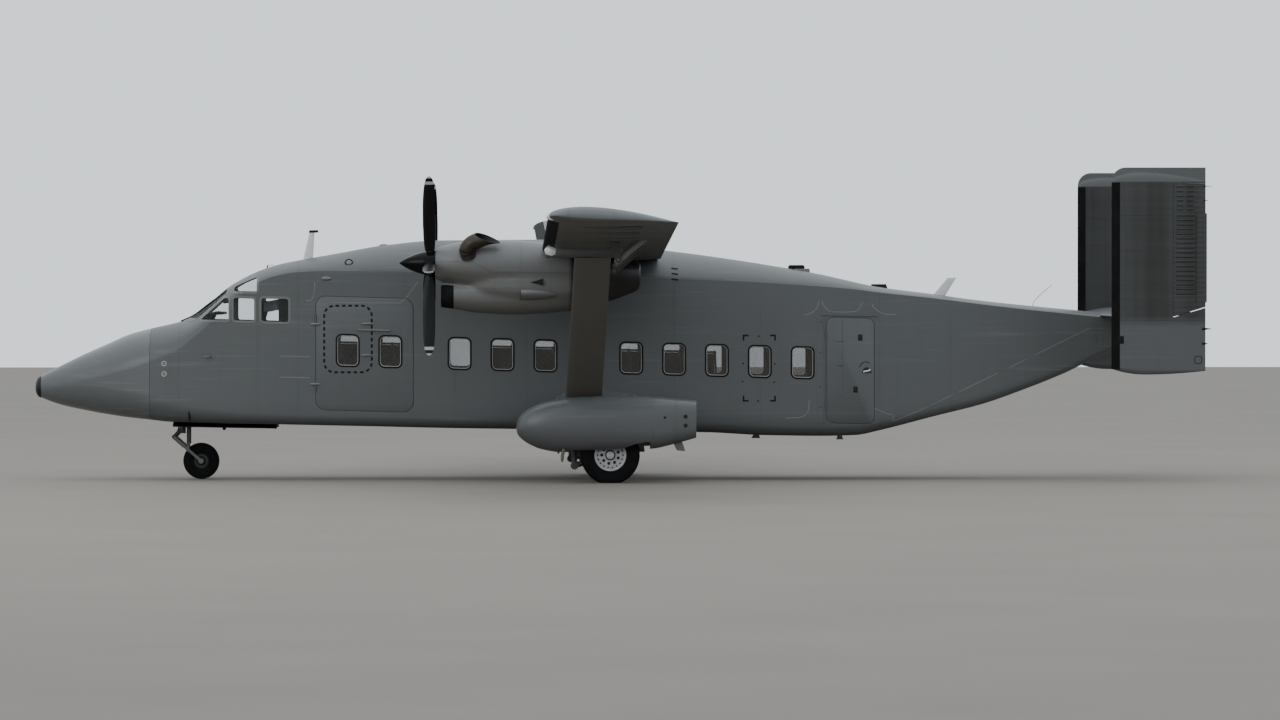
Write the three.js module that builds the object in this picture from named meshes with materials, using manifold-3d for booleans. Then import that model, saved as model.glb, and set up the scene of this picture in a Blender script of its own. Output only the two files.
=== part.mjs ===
// Twin-turboprop utility transport aircraft with a strut-braced high wing, in millimetres.
// +X points aft, -Y is the left side and +Z is up. The origin is on the ground under the middle.
// The aircraft parks nose up, so its waterlines drop towards the tail by SLOPE.
import * as THREE from 'three';
import { mergeVertices } from 'three/addons/utils/BufferGeometryUtils.js';
import Module from 'manifold-3d';

const wasm = await Module();
wasm.setup();

// Driving dimensions
const NOSE_X = -8860;
const SLOPE = 0.0271;
const GAP = 0.3; // between pieces that touch
const MOVE_GAP = 8; // between a moving piece and what it passes
const WALL = 100; // fuselage skin, frames and lining together
const LEAF = 60; // thickness of a door
const DOOR_GAP = 10;
const HULL_HALF = 1110;
const FLOOR_WL = 965; // waterline of the cargo floor
const SHOULDER_WL = 2905; // top of the cabin's side walls
const BELLY_WL = 940; // foot of the cabin's side walls

const WING = { le: -1105, chord: 1785, root: 3430, half: 11380, joint: 3950, bend: 2300, camber: 0.022 };
WING.dihedral = Math.tan(THREE.MathUtils.degToRad(3));
WING.incidence = Math.tan(THREE.MathUtils.degToRad(3.1));

const NACELLE_Y = 2900;
const HUB = { x: -2760, z: 3312, radius: 183, blade: 1410, blades: 5, first: 24 };
const STRUT = { footY: 2120, footX: -472, topY: 5400, topX: -395, topZ: 3385, chord: 545 };

const MAIN = { x: -74, y: 2120, radius: 420, width: 266, rim: 232 };
const NOSE = { x: -6315, radius: 278, width: 190, rim: 112, postX: -6600, pivotX: -6727, pivotZ: 647 };

const FIN = { y: 2840, le: 7430, te: 8840, foot: 1634, top: 4745, hinge: 8370, cap: 4520 };
const TAIL = { z: 2585, le: 7470, te: 8780, hinge: 8310, half: 2815, elevator: 2480 };

const LOOKS = {
  grey: ['#6f7577', 0.55, 0.1],
  dark: ['#26282a', 0.6, 0.1],
  black: ['#141416', 0.5, 0.1],
  rubber: ['#17181a', 0.9, 0],
  heat: ['#3a302a', 0.6, 0.6],
  metal: ['#8d9194', 0.4, 0.7],
  pale: ['#c9c9c4', 0.5, 0.2],
  glass: ['#9fb0b5', 0.1, 0],
  lining: ['#8e8f88', 0.8, 0],
  seat: ['#3c3f38', 0.9, 0],
};

const aircraft = new THREE.Group();

// A closed mesh as a solid that can be joined and cut.
function solidOf(geometry) {
  const bare = geometry.clone();
  bare.deleteAttribute('normal');
  bare.deleteAttribute('uv');
  const merged = mergeVertices(bare, 1e-3);
  const triVerts = [];
  for (let i = 0; i < merged.index.count; i += 3) {
    const [a, b, c] = [0, 1, 2].map((k) => merged.index.getX(i + k));
    if (a !== b && b !== c && c !== a) triVerts.push(a, b, c);
  }
  return new wasm.Manifold(
    new wasm.Mesh({
      numProp: 3,
      vertProperties: merged.attributes.position.array,
      triVerts: new Uint32Array(triVerts),
    }),
  );
}

function geometryOf(solid) {
  const mesh = solid.getMesh();
  const positions = new Float32Array(mesh.numVert * 3);
  for (let i = 0; i < mesh.numVert; i++) {
    positions.set(mesh.vertProperties.subarray(i * mesh.numProp, i * mesh.numProp + 3), i * 3);
  }
  const geometry = new THREE.BufferGeometry();
  geometry.setAttribute('position', new THREE.BufferAttribute(positions, 3));
  geometry.setIndex(new THREE.BufferAttribute(mesh.triVerts, 1));
  geometry.computeVertexNormals();
  return geometry;
}

function put(parent, name, shape, look) {
  const [color, roughness, metalness] = LOOKS[look];
  const geometry = shape.isBufferGeometry ? shape : geometryOf(shape);
  const mesh = new THREE.Mesh(geometry, new THREE.MeshStandardMaterial({ color, roughness, metalness }));
  mesh.name = name;
  parent.add(mesh);
  return mesh;
}

// A box between two corners. With slope, its top and bottom drop towards the tail.
function box([x0, y0, z0], [x1, y1, z1], slope = 0) {
  const geometry = new THREE.BoxGeometry(x1 - x0, y1 - y0, z1 - z0);
  geometry.translate((x0 + x1) / 2, (y0 + y1) / 2, (z0 + z1) / 2);
  const place = geometry.attributes.position;
  for (let i = 0; i < place.count; i++) place.setZ(i, place.getZ(i) - slope * place.getX(i));
  return solidOf(geometry);
}

// A round bar or cone between two points.
function bar(from, to, radius, endRadius = radius, sides = 10) {
  const a = new THREE.Vector3(...from);
  const b = new THREE.Vector3(...to);
  const along = b.clone().sub(a);
  const geometry = new THREE.CylinderGeometry(endRadius, radius, along.length(), sides);
  geometry.applyQuaternion(
    new THREE.Quaternion().setFromUnitVectors(new THREE.Vector3(0, 1, 0), along.clone().normalize()),
  );
  geometry.translate(...a.add(b).divideScalar(2).toArray());
  return solidOf(geometry);
}

// Turns a profile of [radius, distance along] round a bar's axis, which starts at a point.
function turned(profile, origin, direction, sides) {
  const geometry = new THREE.LatheGeometry(
    profile.map(([r, d]) => new THREE.Vector2(r, d)),
    sides,
  );
  geometry.applyQuaternion(
    new THREE.Quaternion().setFromUnitVectors(
      new THREE.Vector3(0, 1, 0),
      new THREE.Vector3(...direction),
    ),
  );
  geometry.translate(...origin);
  const solid = solidOf(geometry);
  return solid.volume() > 0 ? solid : solidOf(flipped(geometry));
}

function flipped(geometry) {
  const copy = mergeVertices(geometry.clone().deleteAttribute('normal').deleteAttribute('uv'), 1e-3);
  copy.index.array.reverse();
  return copy;
}

// A skin over rings of points, closed at both ends.
function loft(rings) {
  const n = rings[0].length;
  const points = rings.flat();
  const tris = [];
  for (let k = 0; k + 1 < rings.length; k++) {
    for (let i = 0; i < n; i++) {
      const j = (i + 1) % n;
      const [a, b, c, d] = [k * n + i, k * n + j, (k + 1) * n + j, (k + 1) * n + i];
      tris.push(a, b, c, a, c, d);
    }
  }
  for (const [start, last] of [[0, false], [(rings.length - 1) * n, true]]) {
    const ring = points.slice(start, start + n);
    const middle = points.length;
    points.push([0, 1, 2].map((axis) => ring.reduce((sum, p) => sum + p[axis], 0) / n));
    for (let i = 0; i < n; i++) {
      const [a, b] = [start + i, start + ((i + 1) % n)];
      if (last) tris.push(a, b, middle);
      else tris.push(b, a, middle);
    }
  }
  let volume = 0;
  for (let i = 0; i < tris.length; i += 3) {
    const [a, b, c] = tris.slice(i, i + 3).map((v) => new THREE.Vector3(...points[v]));
    volume += a.dot(b.cross(c));
  }
  if (volume < 0) tris.reverse();
  const geometry = new THREE.BufferGeometry();
  geometry.setAttribute('position', new THREE.Float32BufferAttribute(points.flat(), 3));
  geometry.setIndex(tris);
  return solidOf(geometry);
}

// A flat outline pushed through the part along one axis: 'x' outlines are [y, z], 'y' ones [x, z].
function prism(outline, axis, from, to) {
  const shape = new THREE.Shape(outline.map(([a, b]) => new THREE.Vector2(a, b)));
  const geometry = new THREE.ExtrudeGeometry(shape, { depth: to - from, bevelEnabled: false });
  const place = geometry.attributes.position;
  for (let i = 0; i < place.count; i++) {
    const [a, b, c] = [place.getX(i), place.getY(i), place.getZ(i) + from];
    if (axis === 'y') place.setXYZ(i, a, c, b);
    if (axis === 'x') place.setXYZ(i, c, a, b);
    if (axis === 'z') place.setXYZ(i, a, b, c);
  }
  const solid = solidOf(geometry);
  return solid.volume() > 0 ? solid : solidOf(flipped(geometry));
}

// An upright rectangle with round corners, its level lines dropping by SLOPE.
function roundedPanel(x0, x1, wl0, wl1, r) {
  const steps = 2;
  const outline = [];
  const corners = [
    [x1 - r, wl0 + r, -90], [x1 - r, wl1 - r, 0],
    [x0 + r, wl1 - r, 90], [x0 + r, wl0 + r, 180],
  ];
  for (const [cx, cz, start] of corners) {
    for (let k = 0; k <= steps; k++) {
      const turn = THREE.MathUtils.degToRad(start + (90 * k) / steps);
      const x = cx + r * Math.cos(turn);
      outline.push([x, cz + r * Math.sin(turn) - SLOPE * x]);
    }
  }
  return outline;
}

// Hinge pins turn in holes with little play; both have the same flats.
const PIN = { radius: 12, hole: 12.6, reach: 25, root: 60, sides: 12 };
const KNUCKLE = { radius: 14, half: 20, reach: 62, room: 1.5, sides: 8 };

// A hinge between a leaf and its frame: the leaf's knuckle lies between two on the frame.
function hinge({ leaf, frame }, origin, axis) {
  const { radius, half, reach, room, sides } = KNUCKLE;
  const at = (d) => origin.map((value, i) => value + d * axis[i]);
  const piece = (from, to, grow) => bar(at(from), at(to), radius + grow, radius + grow, sides);
  const leafRooms = [piece(-reach - 1, -half + GAP, room), piece(half - GAP, reach + 1, room)];
  return {
    leaf: join(cut(leaf, ...leafRooms), piece(-half + GAP, half - GAP, 0)),
    frame: join(cut(frame, piece(-half, half, room)), piece(-reach, -half, 0), piece(half, reach, 0)),
  };
}

const join = (...solids) => solids.reduce((all, one) => all.add(one));
const cut = (solid, ...tools) => tools.reduce((rest, tool) => rest.subtract(tool), solid);

// Fuselage sections: x, belly z, top of the flat side z, crown z, half width, bottom corner radius
const HULL = [
  [-8860, 1350, 1416, 1482, 66, 62],
  [-8830, 1295, 1416, 1537, 120, 112],
  [-8765, 1249, 1422, 1581, 168, 156],
  [-8600, 1183, 1432, 1673, 262, 235],
  [-8420, 1130, 1450, 1765, 352, 300],
  [-8080, 1058, 1490, 1930, 505, 380],
  [-7750, 1000, 1540, 2075, 635, 410],
  [-7420, 955, 1600, 2220, 755, 400],
  [-7070, 920, 1680, 2315, 855, 360],
  [-6760, 890, 1800, 2385, 925, 300],
  [-6620, 886, 1880, 2420, 952, 270],
  [-6400, 882, 2020, 2520, 985, 240],
  [-6100, 876, 2180, 2770, 1025, 210],
  [-5830, 871, 2330, 2985, 1055, 190],
  [-5450, 865, 2560, 3185, 1090, 170],
  [-5100, 858, 2700, 3300, 1106, 160],
  [-4750, 850, 2810, 3370, 1110, 150],
  [-4190, 838, 2900, 3470, 1110, 150],
  [-3570, 825, 2950, 3580, 1110, 150],
  [-2650, 803, 2960, 3665, 1110, 150],
  [-1110, 780, 2960, 3675, 1110, 150],
  [0, 758, 2950, 3600, 1110, 150],
  [850, 742, 2940, 3505, 1110, 150],
  [1440, 733, 2920, 3430, 1110, 150],
  [2280, 690, 2890, 3305, 1110, 150],
  [3190, 678, 2860, 3145, 1110, 150],
  [3700, 690, 2830, 3030, 1110, 150],
  [4050, 760, 2790, 2955, 1108, 150],
  [4890, 975, 2720, 2845, 1085, 145],
  [5650, 1165, 2640, 2742, 1010, 135],
  [6300, 1390, 2570, 2660, 900, 120],
  [6890, 1620, 2500, 2590, 770, 105],
  [7580, 1945, 2430, 2510, 590, 80],
  [8120, 2150, 2390, 2450, 430, 60],
];
const HULL_BREAK = 4050; // where the ramp starts and the tail tapers

// One section as a ring of points, moved in by an inset.
function hullRing([x, belly, side, crown, half, corner], inset = 0) {
  const [zb, zt, w] = [belly + 0.6 * inset, crown - inset, half - inset];
  const r = Math.max(corner - 0.6 * inset, 0.3 * corner);
  const zs = Math.min(side, zt - 0.35 * (crown - side));
  const right = [];
  right.push([w - r, zb]);
  for (let k = 1; k <= 3; k++) {
    const turn = (Math.PI / 2) * (k / 3);
    right.push([w - r + r * Math.sin(turn), zb + r - r * Math.cos(turn)]);
  }
  for (let k = 0; k < 5; k++) {
    const turn = (Math.PI / 2) * (k / 5);
    right.push([w * Math.cos(turn), zs + (zt - zs) * Math.sin(turn)]);
  }
  const left = right.slice().reverse().map(([y, z]) => [-y, z]);
  return [[0, zb], ...right, [0, zt], ...left].map(([y, z]) => [x, y, z]);
}

// Makes a section between two rows of the table.
function hullAt(x) {
  const next = HULL.findIndex((row) => row[0] > x);
  const k = next < 0 ? HULL.length - 1 : Math.max(next, 1);
  const [a, b] = [HULL[k - 1], HULL[k]];
  const t = (x - a[0]) / (b[0] - a[0]);
  return a.map((value, i) => value + t * (b[i] - value));
}

function hull(from, to, inset = 0) {
  const rows = HULL.filter((row) => row[0] > from + 1 && row[0] < to - 1);
  return loft([hullAt(from), ...rows, hullAt(to)].map((row) => hullRing(row, inset)));
}

// Windows of the cabin, centres along X; the first two sit in the cargo door on the left side
const WINDOW = { wide: 345, high: 484, wl: 1875, r: 105, aft: 2879, pitch: 653, count: 9 };
WINDOW.front = [-4046, -3398];
const windowXs = Array.from({ length: WINDOW.count }, (_, i) => WINDOW.aft - i * WINDOW.pitch);

const CARGO_DOOR = { x0: -4530, x1: -3050, wl0: 963, wl1: 2690, r: 150, hinges: [1300, 2350] };
const CREW_DOOR = { x0: 3240, x1: 3970, wl0: 972, wl1: 2580, r: 110, hinges: [1250, 2300] };
const RAMP = { x0: 4075, x1: 6780, half: 905, rake: 0.34 };
const BAY = { x0: -6760, x1: -5110, half: 300, top: 1440 };
const COCKPIT = { x0: -7070, x1: -4800, floor: 1500 };

// Cockpit side panes as [x, z] outlines: quarter light, sliding pane, rear pane, eyebrow pane
const SIDE_PANES = [
  [[-6300, 2450], [-5855, 2440], [-5855, 2785], [-5925, 2790]],
  [[-5785, 2438], [-5465, 2430], [-5465, 2775], [-5785, 2787]],
  [[-5360, 2425], [-4945, 2412], [-4945, 2770], [-5360, 2780]],
  [[-5785, 2880], [-5425, 2872], [-5425, 3090], [-5640, 3120], [-5785, 2990]],
];
// Half of the windscreen seen from ahead, as [y, z]
const WINDSCREEN = [[45, 2470], [640, 2455], [760, 2560], [700, 2900], [560, 2965], [45, 2990]];

function windowCuts(xs, y0, y1) {
  return xs.map((x) =>
    prism(
      roundedPanel(
        x - WINDOW.wide / 2,
        x + WINDOW.wide / 2,
        WINDOW.wl - WINDOW.high / 2,
        WINDOW.wl + WINDOW.high / 2,
        WINDOW.r,
      ),
      'y',
      y0,
      y1,
    ),
  );
}

function doorPrism(door, grow, y0, y1) {
  return prism(
    roundedPanel(door.x0 - grow, door.x1 + grow, door.wl0 - grow, door.wl1 + grow, door.r + grow),
    'y',
    y0,
    y1,
  );
}

function nose() {
  const capEnd = -8765;
  put(aircraft, 'nose_cap', hull(NOSE_X, capEnd - GAP / 2), 'black');
  put(aircraft, 'nose_cone', hull(capEnd + GAP / 2, COCKPIT.x0 - GAP), 'grey');
}

function cockpit() {
  const { x0, x1, floor } = COCKPIT;
  const ahead = x0 + WALL;
  let shell = cut(hull(x0, x1 - GAP), hull(ahead, x1 + 1, WALL * 0.7));
  for (const side of [-1, 1]) {
    for (const pane of SIDE_PANES) {
      shell = cut(shell, prism(pane, 'y', ...(side < 0 ? [-1300, -500] : [500, 1300])));
    }
    shell = cut(shell, prism(WINDSCREEN.map(([y, z]) => [side * y, z]), 'x', -6900, -5900));
  }
  shell = cut(shell, box([BAY.x0, -BAY.half, 700], [BAY.x1, BAY.half, 1100]));
  put(aircraft, 'cockpit_shell', shell, 'grey');

  // The deck under the pilots' feet, with the nose-wheel bay below it.
  const inside = hull(ahead + GAP, x1 - GAP, WALL * 0.7 + GAP);
  const deck = cut(
    inside.intersect(box([x0, -1200, 700], [x1, 1200, floor])),
    box([BAY.x0, -BAY.half, 700], [BAY.x1, BAY.half, BAY.top]),
  );
  put(aircraft, 'cockpit_deck', deck, 'lining');

  // Panes: one clear band just inside the frames.
  const outer = hull(ahead, x1 + 1, WALL * 0.7 + GAP);
  const inner = hull(ahead - 1, x1 + 2, WALL * 0.7 + 9);
  const band = box([-6700, -1200, 2390], [-4860, 1200, 3130]).intersect(cut(outer, inner));
  put(aircraft, 'cockpit_glazing', band.decompose().sort((a, b) => b.volume() - a.volume())[0], 'glass');

  // Instrument panel with its hood, standing on the deck.
  const panel = [
    [-6480, floor + GAP], [-6260, floor + GAP], [-6260, 1900], [-6300, 2230], [-6230, 2300],
    [-6230, 2335], [-6520, 2335], [-6520, 2150], [-6480, 2100],
  ];
  put(aircraft, 'instrument_panel', prism(panel, 'y', -640, 640).intersect(inside), 'dark');

  const seat = [
    [-5860, floor + GAP], [-5480, floor + GAP], [-5480, 1850], [-5330, 2560], [-5400, 2740],
    [-5480, 2740], [-5570, 2060], [-5960, 2080], [-5980, 1960], [-5860, 1930],
  ];
  for (const [side, word] of [[-1, 'left'], [1, 'right']]) {
    put(aircraft, 'seat_' + word, prism(seat, 'y', side * 480 - 235, side * 480 + 235), 'seat');
  }
}

function cabin(wing) {
  const [x0, x1] = [COCKPIT.x1, HULL_BREAK];
  const tube = cut(hull(x0, x1 - GAP), hull(x0 - 1, x1 + 1, WALL));
  const leafSkin = cut(hull(x0, x1), hull(x0 - 1, x1 + 1, LEAF));
  const far = 2000;
  const bellyCut = (lift) => box([x0 - 10, -far, 0], [x1 + 10, far, BELLY_WL + lift], SLOPE);
  const roofCut = (lift) => box([x0 - 10, -far, SHOULDER_WL + lift], [x1 + 10, far, 5000], SLOPE);

  put(aircraft, 'belly', tube.intersect(bellyCut(-GAP)), 'grey');
  const middle = cut(tube, bellyCut(0), roofCut(0));
  for (const [side, word] of [[-1, 'left'], [1, 'right']]) {
    const [y0, y1] = side < 0 ? [-far, 0] : [0, far];
    const half = middle.intersect(box([x0 - 10, y0, 0], [x1 + 10, y1, 5000]));
    const outerY = side < 0 ? [-far, -HULL_HALF + WALL * 3] : [HULL_HALF - WALL * 3, far];
    let wall = cut(half, ...windowCuts(windowXs, ...outerY));
    if (side > 0) {
      wall = cut(wall, ...windowCuts(WINDOW.front, ...outerY));
    } else {
      for (const [name, door] of [['cargo_door', CARGO_DOOR], ['passenger_door', CREW_DOOR]]) {
        wall = cut(wall, doorPrism(door, DOOR_GAP, ...outerY));
        const panes = name === 'cargo_door' ? windowCuts(WINDOW.front, ...outerY) : [];
        const leaf = cut(half.intersect(doorPrism(door, 0, ...outerY)).intersect(leafSkin), ...panes);
        let pair = { leaf, frame: wall };
        for (const wl of door.hinges) {
          const x = door.x0 - DOOR_GAP / 2;
          pair = hinge(pair, [x, -HULL_HALF - 5, wl - SLOPE * x], [0, 0, 1]);
        }
        wall = pair.frame;
        put(aircraft, name, pair.leaf, 'grey');
      }
    }
    put(aircraft, 'cabin_wall_' + word, wall, 'grey');
  }

  // The wing's centre section fills the roof between its leading and trailing edges.
  const [wingFront, wingBack] = [WING.le - 20, WING.le + WING.chord + 20];
  const roof = tube.intersect(roofCut(GAP));
  const front = box([x0 - 10, -far, 0], [wingFront - GAP, far, 5000]);
  const back = box([wingBack + GAP, -far, 0], [x1 + 10, far, 5000]);
  put(aircraft, 'roof_front', roof.intersect(front), 'grey');
  put(aircraft, 'roof_rear', roof.intersect(back), 'grey');
  const saddle = tube.intersect(roofCut(GAP)).intersect(box([wingFront, -far, 0], [wingBack, far, 5000]));
  put(aircraft, 'wing_centre', join(wing, saddle), 'grey');

  // The wall behind the pilots with its doorway, and the cargo floor behind it, both on the belly.
  const inside = hull(x0 + GAP, x1 + 10, WALL + GAP);
  const wallBack = x0 + LEAF;
  const floorEnd = x1 - 4;
  const floor = inside.intersect(box([wallBack + GAP, -far, 0], [floorEnd, far, FLOOR_WL], SLOPE));
  put(aircraft, 'cargo_floor', floor, 'metal');
  const bulkhead = inside.intersect(box([x0 + GAP, -far, 0], [wallBack, far, 4000]));
  const doorway = box([x0 - 10, -320, 1095], [x0 + 100, 320, 2780]);
  put(aircraft, 'bulkhead', cut(bulkhead, doorway), 'lining');
}

function tailShell() {
  const [x0, x1] = [HULL_BREAK, HULL.at(-1)[0]];
  const tube = cut(hull(x0, x1), hull(x0 - 1, 7000, WALL));
  // The ramp is the underside between its sills, down to the skin's outer face.
  const under = (grow, lift) => {
    const along = [RAMP.x0 - grow, RAMP.x1 + grow];
    const edge = along.map((x) => [x, hullAt(x)[1]]);
    return [
      [edge[0][0], edge[0][1] - 400], [edge[1][0] + 400 * RAMP.rake, edge[1][1] - 400],
      [edge[1][0] - lift * RAMP.rake, edge[1][1] + lift], [5650, hullAt(5650)[1] + lift],
      [4890, hullAt(4890)[1] + lift], [edge[0][0], edge[0][1] + lift],
    ];
  };
  const taper = (grow) => {
    const rows = [[RAMP.x0 - 200, RAMP.half], [5650, RAMP.half - 60], [RAMP.x1 + 200, 640]];
    return prism(
      [
        ...rows.map(([x, y]) => [x, y + grow]),
        ...rows.reverse().map(([x, y]) => [x, -y - grow]),
      ],
      'z',
      0,
      4000,
    );
  };
  const opening = prism(under(MOVE_GAP, WALL + 60), 'y', -1200, 1200).intersect(taper(2 * MOVE_GAP));
  const leaf = prism(under(0, WALL - 20), 'y', -1200, 1200).intersect(taper(0));
  let pair = { leaf: leaf.intersect(hull(x0, x1)), frame: cut(tube, opening) };
  const hingeX = RAMP.x0 - MOVE_GAP / 2;
  for (const y of [-600, 0, 600]) pair = hinge(pair, [hingeX, y, hullAt(hingeX)[1]], [0, 1, 0]);
  put(aircraft, 'rear_ramp', pair.leaf, 'grey');
  return pair.frame;
}

// Half thickness of a general-purpose wing section at a share s of its chord, both over the chord.
function foilHalf(thickness, s) {
  return 5 * thickness * (0.2969 * Math.sqrt(s) - 0.126 * s - 0.3516 * s ** 2 + 0.2843 * s ** 3 - 0.1 * s ** 4);
}

function foilRing(thickness, camber, place, n = 6) {
  const side = (sign) =>
    Array.from({ length: n + 1 }, (_, i) => {
      const s = 0.5 - 0.5 * Math.cos((Math.PI * i) / n);
      return place(s, 4 * camber * s * (1 - s) + sign * foilHalf(thickness, s));
    });
  return [...side(1).reverse(), ...side(-1).slice(1)];
}

const wingMid = (y) => WING.root + Math.max(0, Math.abs(y) - WING.bend) * WING.dihedral;
const wingThick = (y) => 0.18 - (0.04 * Math.abs(y)) / WING.half;

function wingRing(y, scale = 1) {
  const { le, chord, incidence } = WING;
  const lead = le + (1 - scale) * 120;
  const c = chord - (1 - scale) * 120;
  return foilRing(wingThick(y) * scale, WING.camber * scale, (s, h) => [
    lead + s * c,
    y,
    wingMid(y) + (0.5 - s) * c * incidence + h * c,
  ]);
}

// Height of the wing's mean line at a share of the chord.
function wingLine(y, s) {
  return wingMid(y) + ((0.5 - s) * WING.incidence + 4 * WING.camber * s * (1 - s)) * WING.chord;
}

// Trailing-edge surfaces of one side: name, inner y, outer y, share of the chord where it starts
const SURFACES = [
  ['flap_inner', 1180, 2260, 0.72],
  ['flap_outer', 3990, 7620, 0.72],
  ['aileron', 7700, 11120, 0.77],
];
const END_GAP = 15;

function surfaceNose(y0, y1, s, side, grow) {
  const x = WING.le + s * WING.chord;
  const half = (y) => foilHalf(wingThick(y), s) * WING.chord;
  return bar(
    [x, side * y0, wingLine(y0, s)],
    [x, side * y1, wingLine(y1, s)],
    half(y0) - 4 + grow,
    half(y1) - 4 + grow,
    16,
  );
}

function surfaceCuts(side) {
  return SURFACES.map(([name, y0, y1, s]) => {
    const x = WING.le + s * WING.chord;
    const ys = [side * y0, side * y1].sort((a, b) => a - b);
    const bay = join(
      surfaceNose(y0, y1, s, side, MOVE_GAP),
      box([x, ys[0], 2800], [x + 1000, ys[1], 4600]),
    );
    if (name === 'aileron') return bay;
    // A flap's nose drops as it turns, so the wing's lower lip stops short of it.
    const lip = (y) => [x - 12, side * y, wingLine(y, s) - foilHalf(wingThick(y), s) * WING.chord];
    return join(bay, bar(lip(y0), lip(y1), 40, 40, 8));
  });
}

function wingHalf(side) {
  const ys = [0, WING.bend, WING.joint, 7700, 11120, 11230];
  const rings = ys.map((y) => wingRing(side * y));
  const tips = [[11300, 0.8], [11350, 0.55], [11380, 0.25]];
  return loft([...rings, ...tips.map(([y, scale]) => wingRing(side * y, scale))]);
}

// The flap's arms turn on a pivot below the wing.
const FLAP_ARM = { ys: [[1700], [4300, 5950, 7300]], x: -60, drop: 345, radius: 44, eye: 50, plate: 22 };

function flapPivot(y) {
  return [FLAP_ARM.x, y, wingMid(y) - FLAP_ARM.drop];
}

function wings() {
  let centre = null;
  for (const [side, word] of [[-1, 'left'], [1, 'right']]) {
    const whole = wingHalf(side);
    let body = cut(whole, ...surfaceCuts(side));

    for (const [index, [name, y0, y1, s]] of SURFACES.entries()) {
      const ys = [side * (y0 + END_GAP), side * (y1 - END_GAP)].sort((a, b) => a - b);
      const x = WING.le + s * WING.chord;
      const span = box([x - 300, ys[0], 2800], [x + 1000, ys[1], 4600]);
      const aft = box([x, ys[0], 2800], [x + 1000, ys[1], 4600]);
      let surface = join(whole.intersect(aft), surfaceNose(y0, y1, s, side, 0).intersect(span));
      for (const armY of FLAP_ARM.ys[index] ?? []) {
        const y = side * armY;
        const [px, , pz] = flapPivot(y);
        const tilt = armY > WING.bend ? side * WING.dihedral : 0;
        const across = (reach, radius, sides) =>
          bar([px, y - reach, pz - reach * tilt], [px, y + reach, pz + reach * tilt], radius, radius, sides);
        const end = [330, y, wingLine(armY, 0.78) - 20];
        const { radius, eye } = FLAP_ARM;
        const arm = join(across(eye, 57, 10), bar([px, y, pz], end, radius, radius, 8));
        surface = join(surface, cut(arm, across(90, 15.6, PIN.sides)));
        for (const cheek of [-1, 1]) {
          const off = y + cheek * (FLAP_ARM.eye + MOVE_GAP + FLAP_ARM.plate / 2);
          const top = wingMid(armY) - 60;
          const outline = [
            [px - 60, pz], [px, pz - 50], [px + 45, pz - 10], [px + 60, top], [px - 260, top],
          ];
          body = join(body, prism(outline, 'y', off - FLAP_ARM.plate / 2, off + FLAP_ARM.plate / 2));
        }
        body = join(body, across(80, 15, PIN.sides));
      }
      if (!FLAP_ARM.ys[index]) {
        const { radius, hole, reach, root, sides } = PIN;
        for (const [from, to] of [[y0 - reach, y0 + root], [y1 - root, y1 + reach]]) {
          const pin = (grow, r) =>
            bar(
              [x, side * (from - grow), wingLine(from - grow, s)],
              [x, side * (to + grow), wingLine(to + grow, s)],
              r,
              r,
              sides,
            );
          surface = join(surface, pin(0, radius));
          body = cut(body, pin(GAP, hole));
        }
      }
      put(aircraft, name + '_' + word, surface, 'grey');
    }

    const jointY = side * WING.joint;
    const inner = side < 0 ? [jointY + GAP / 2, 0] : [0, jointY - GAP / 2];
    const outer = side < 0 ? [-12000, jointY - GAP / 2] : [jointY + GAP / 2, 12000];
    const near = body.intersect(box([-3000, inner[0], 2000], [3000, inner[1], 5000]));
    centre = centre ? join(centre, near) : near;

    // The strut's fairing under the outer wing, with a lamp at its nose.
    const { topY, topZ } = STRUT;
    const pylonTop = wingMid(topY) - 40;
    const pylon = loft(
      [[-1080, 20, 40], [-1040, 62, 70], [-930, 82, 95], [-100, 82, 100], [55, 40, 70]].map(([x, w, h]) => {
        const low = Math.max(topZ + GAP, pylonTop - 165 - h);
        return [[x, side * topY - w, low], [x, side * topY + w, low],
          [x, side * topY + w, pylonTop], [x, side * topY - w, pylonTop]];
      }),
    );
    const far = body.intersect(box([-3000, outer[0], 2000], [3000, outer[1], 5000]));
    put(aircraft, 'wing_outer_' + word, join(far, pylon), 'grey');
  }
  return centre;
}

// Sponson sections: x, bottom z, top z, half width
const POD = [
  [-1490, 800, 860, 30], [-1462, 722, 960, 105], [-1400, 655, 1050, 170], [-1290, 582, 1130, 235],
  [-1100, 505, 1215, 295], [-810, 462, 1280, 335], [-510, 470, 1312, 350], [-100, 495, 1318, 355],
  [540, 535, 1300, 350], [900, 600, 1272, 335], [1216, 680, 1243, 310],
];

const STUB = { le: -900, chord: 1560, z: 1215 }; // short wing between the hull and a sponson

function podRing([x, low, high, half], y, lift = 0) {
  const [mid, tall] = [(low + high) / 2 + lift, (high - low) / 2];
  return Array.from({ length: 16 }, (_, i) => {
    const turn = (2 * Math.PI * i) / 16;
    const [across, up] = [Math.cos(turn), Math.sin(turn)].map((v) => Math.sign(v) * Math.abs(v) ** 0.72);
    return [x, y + half * across, mid + tall * up];
  });
}

function strutRing(y, x, z, chord, side) {
  return foilRing(0.21, 0, (s, h) => [x + (s - 0.5) * chord, side * y + h * chord, z]);
}

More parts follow.
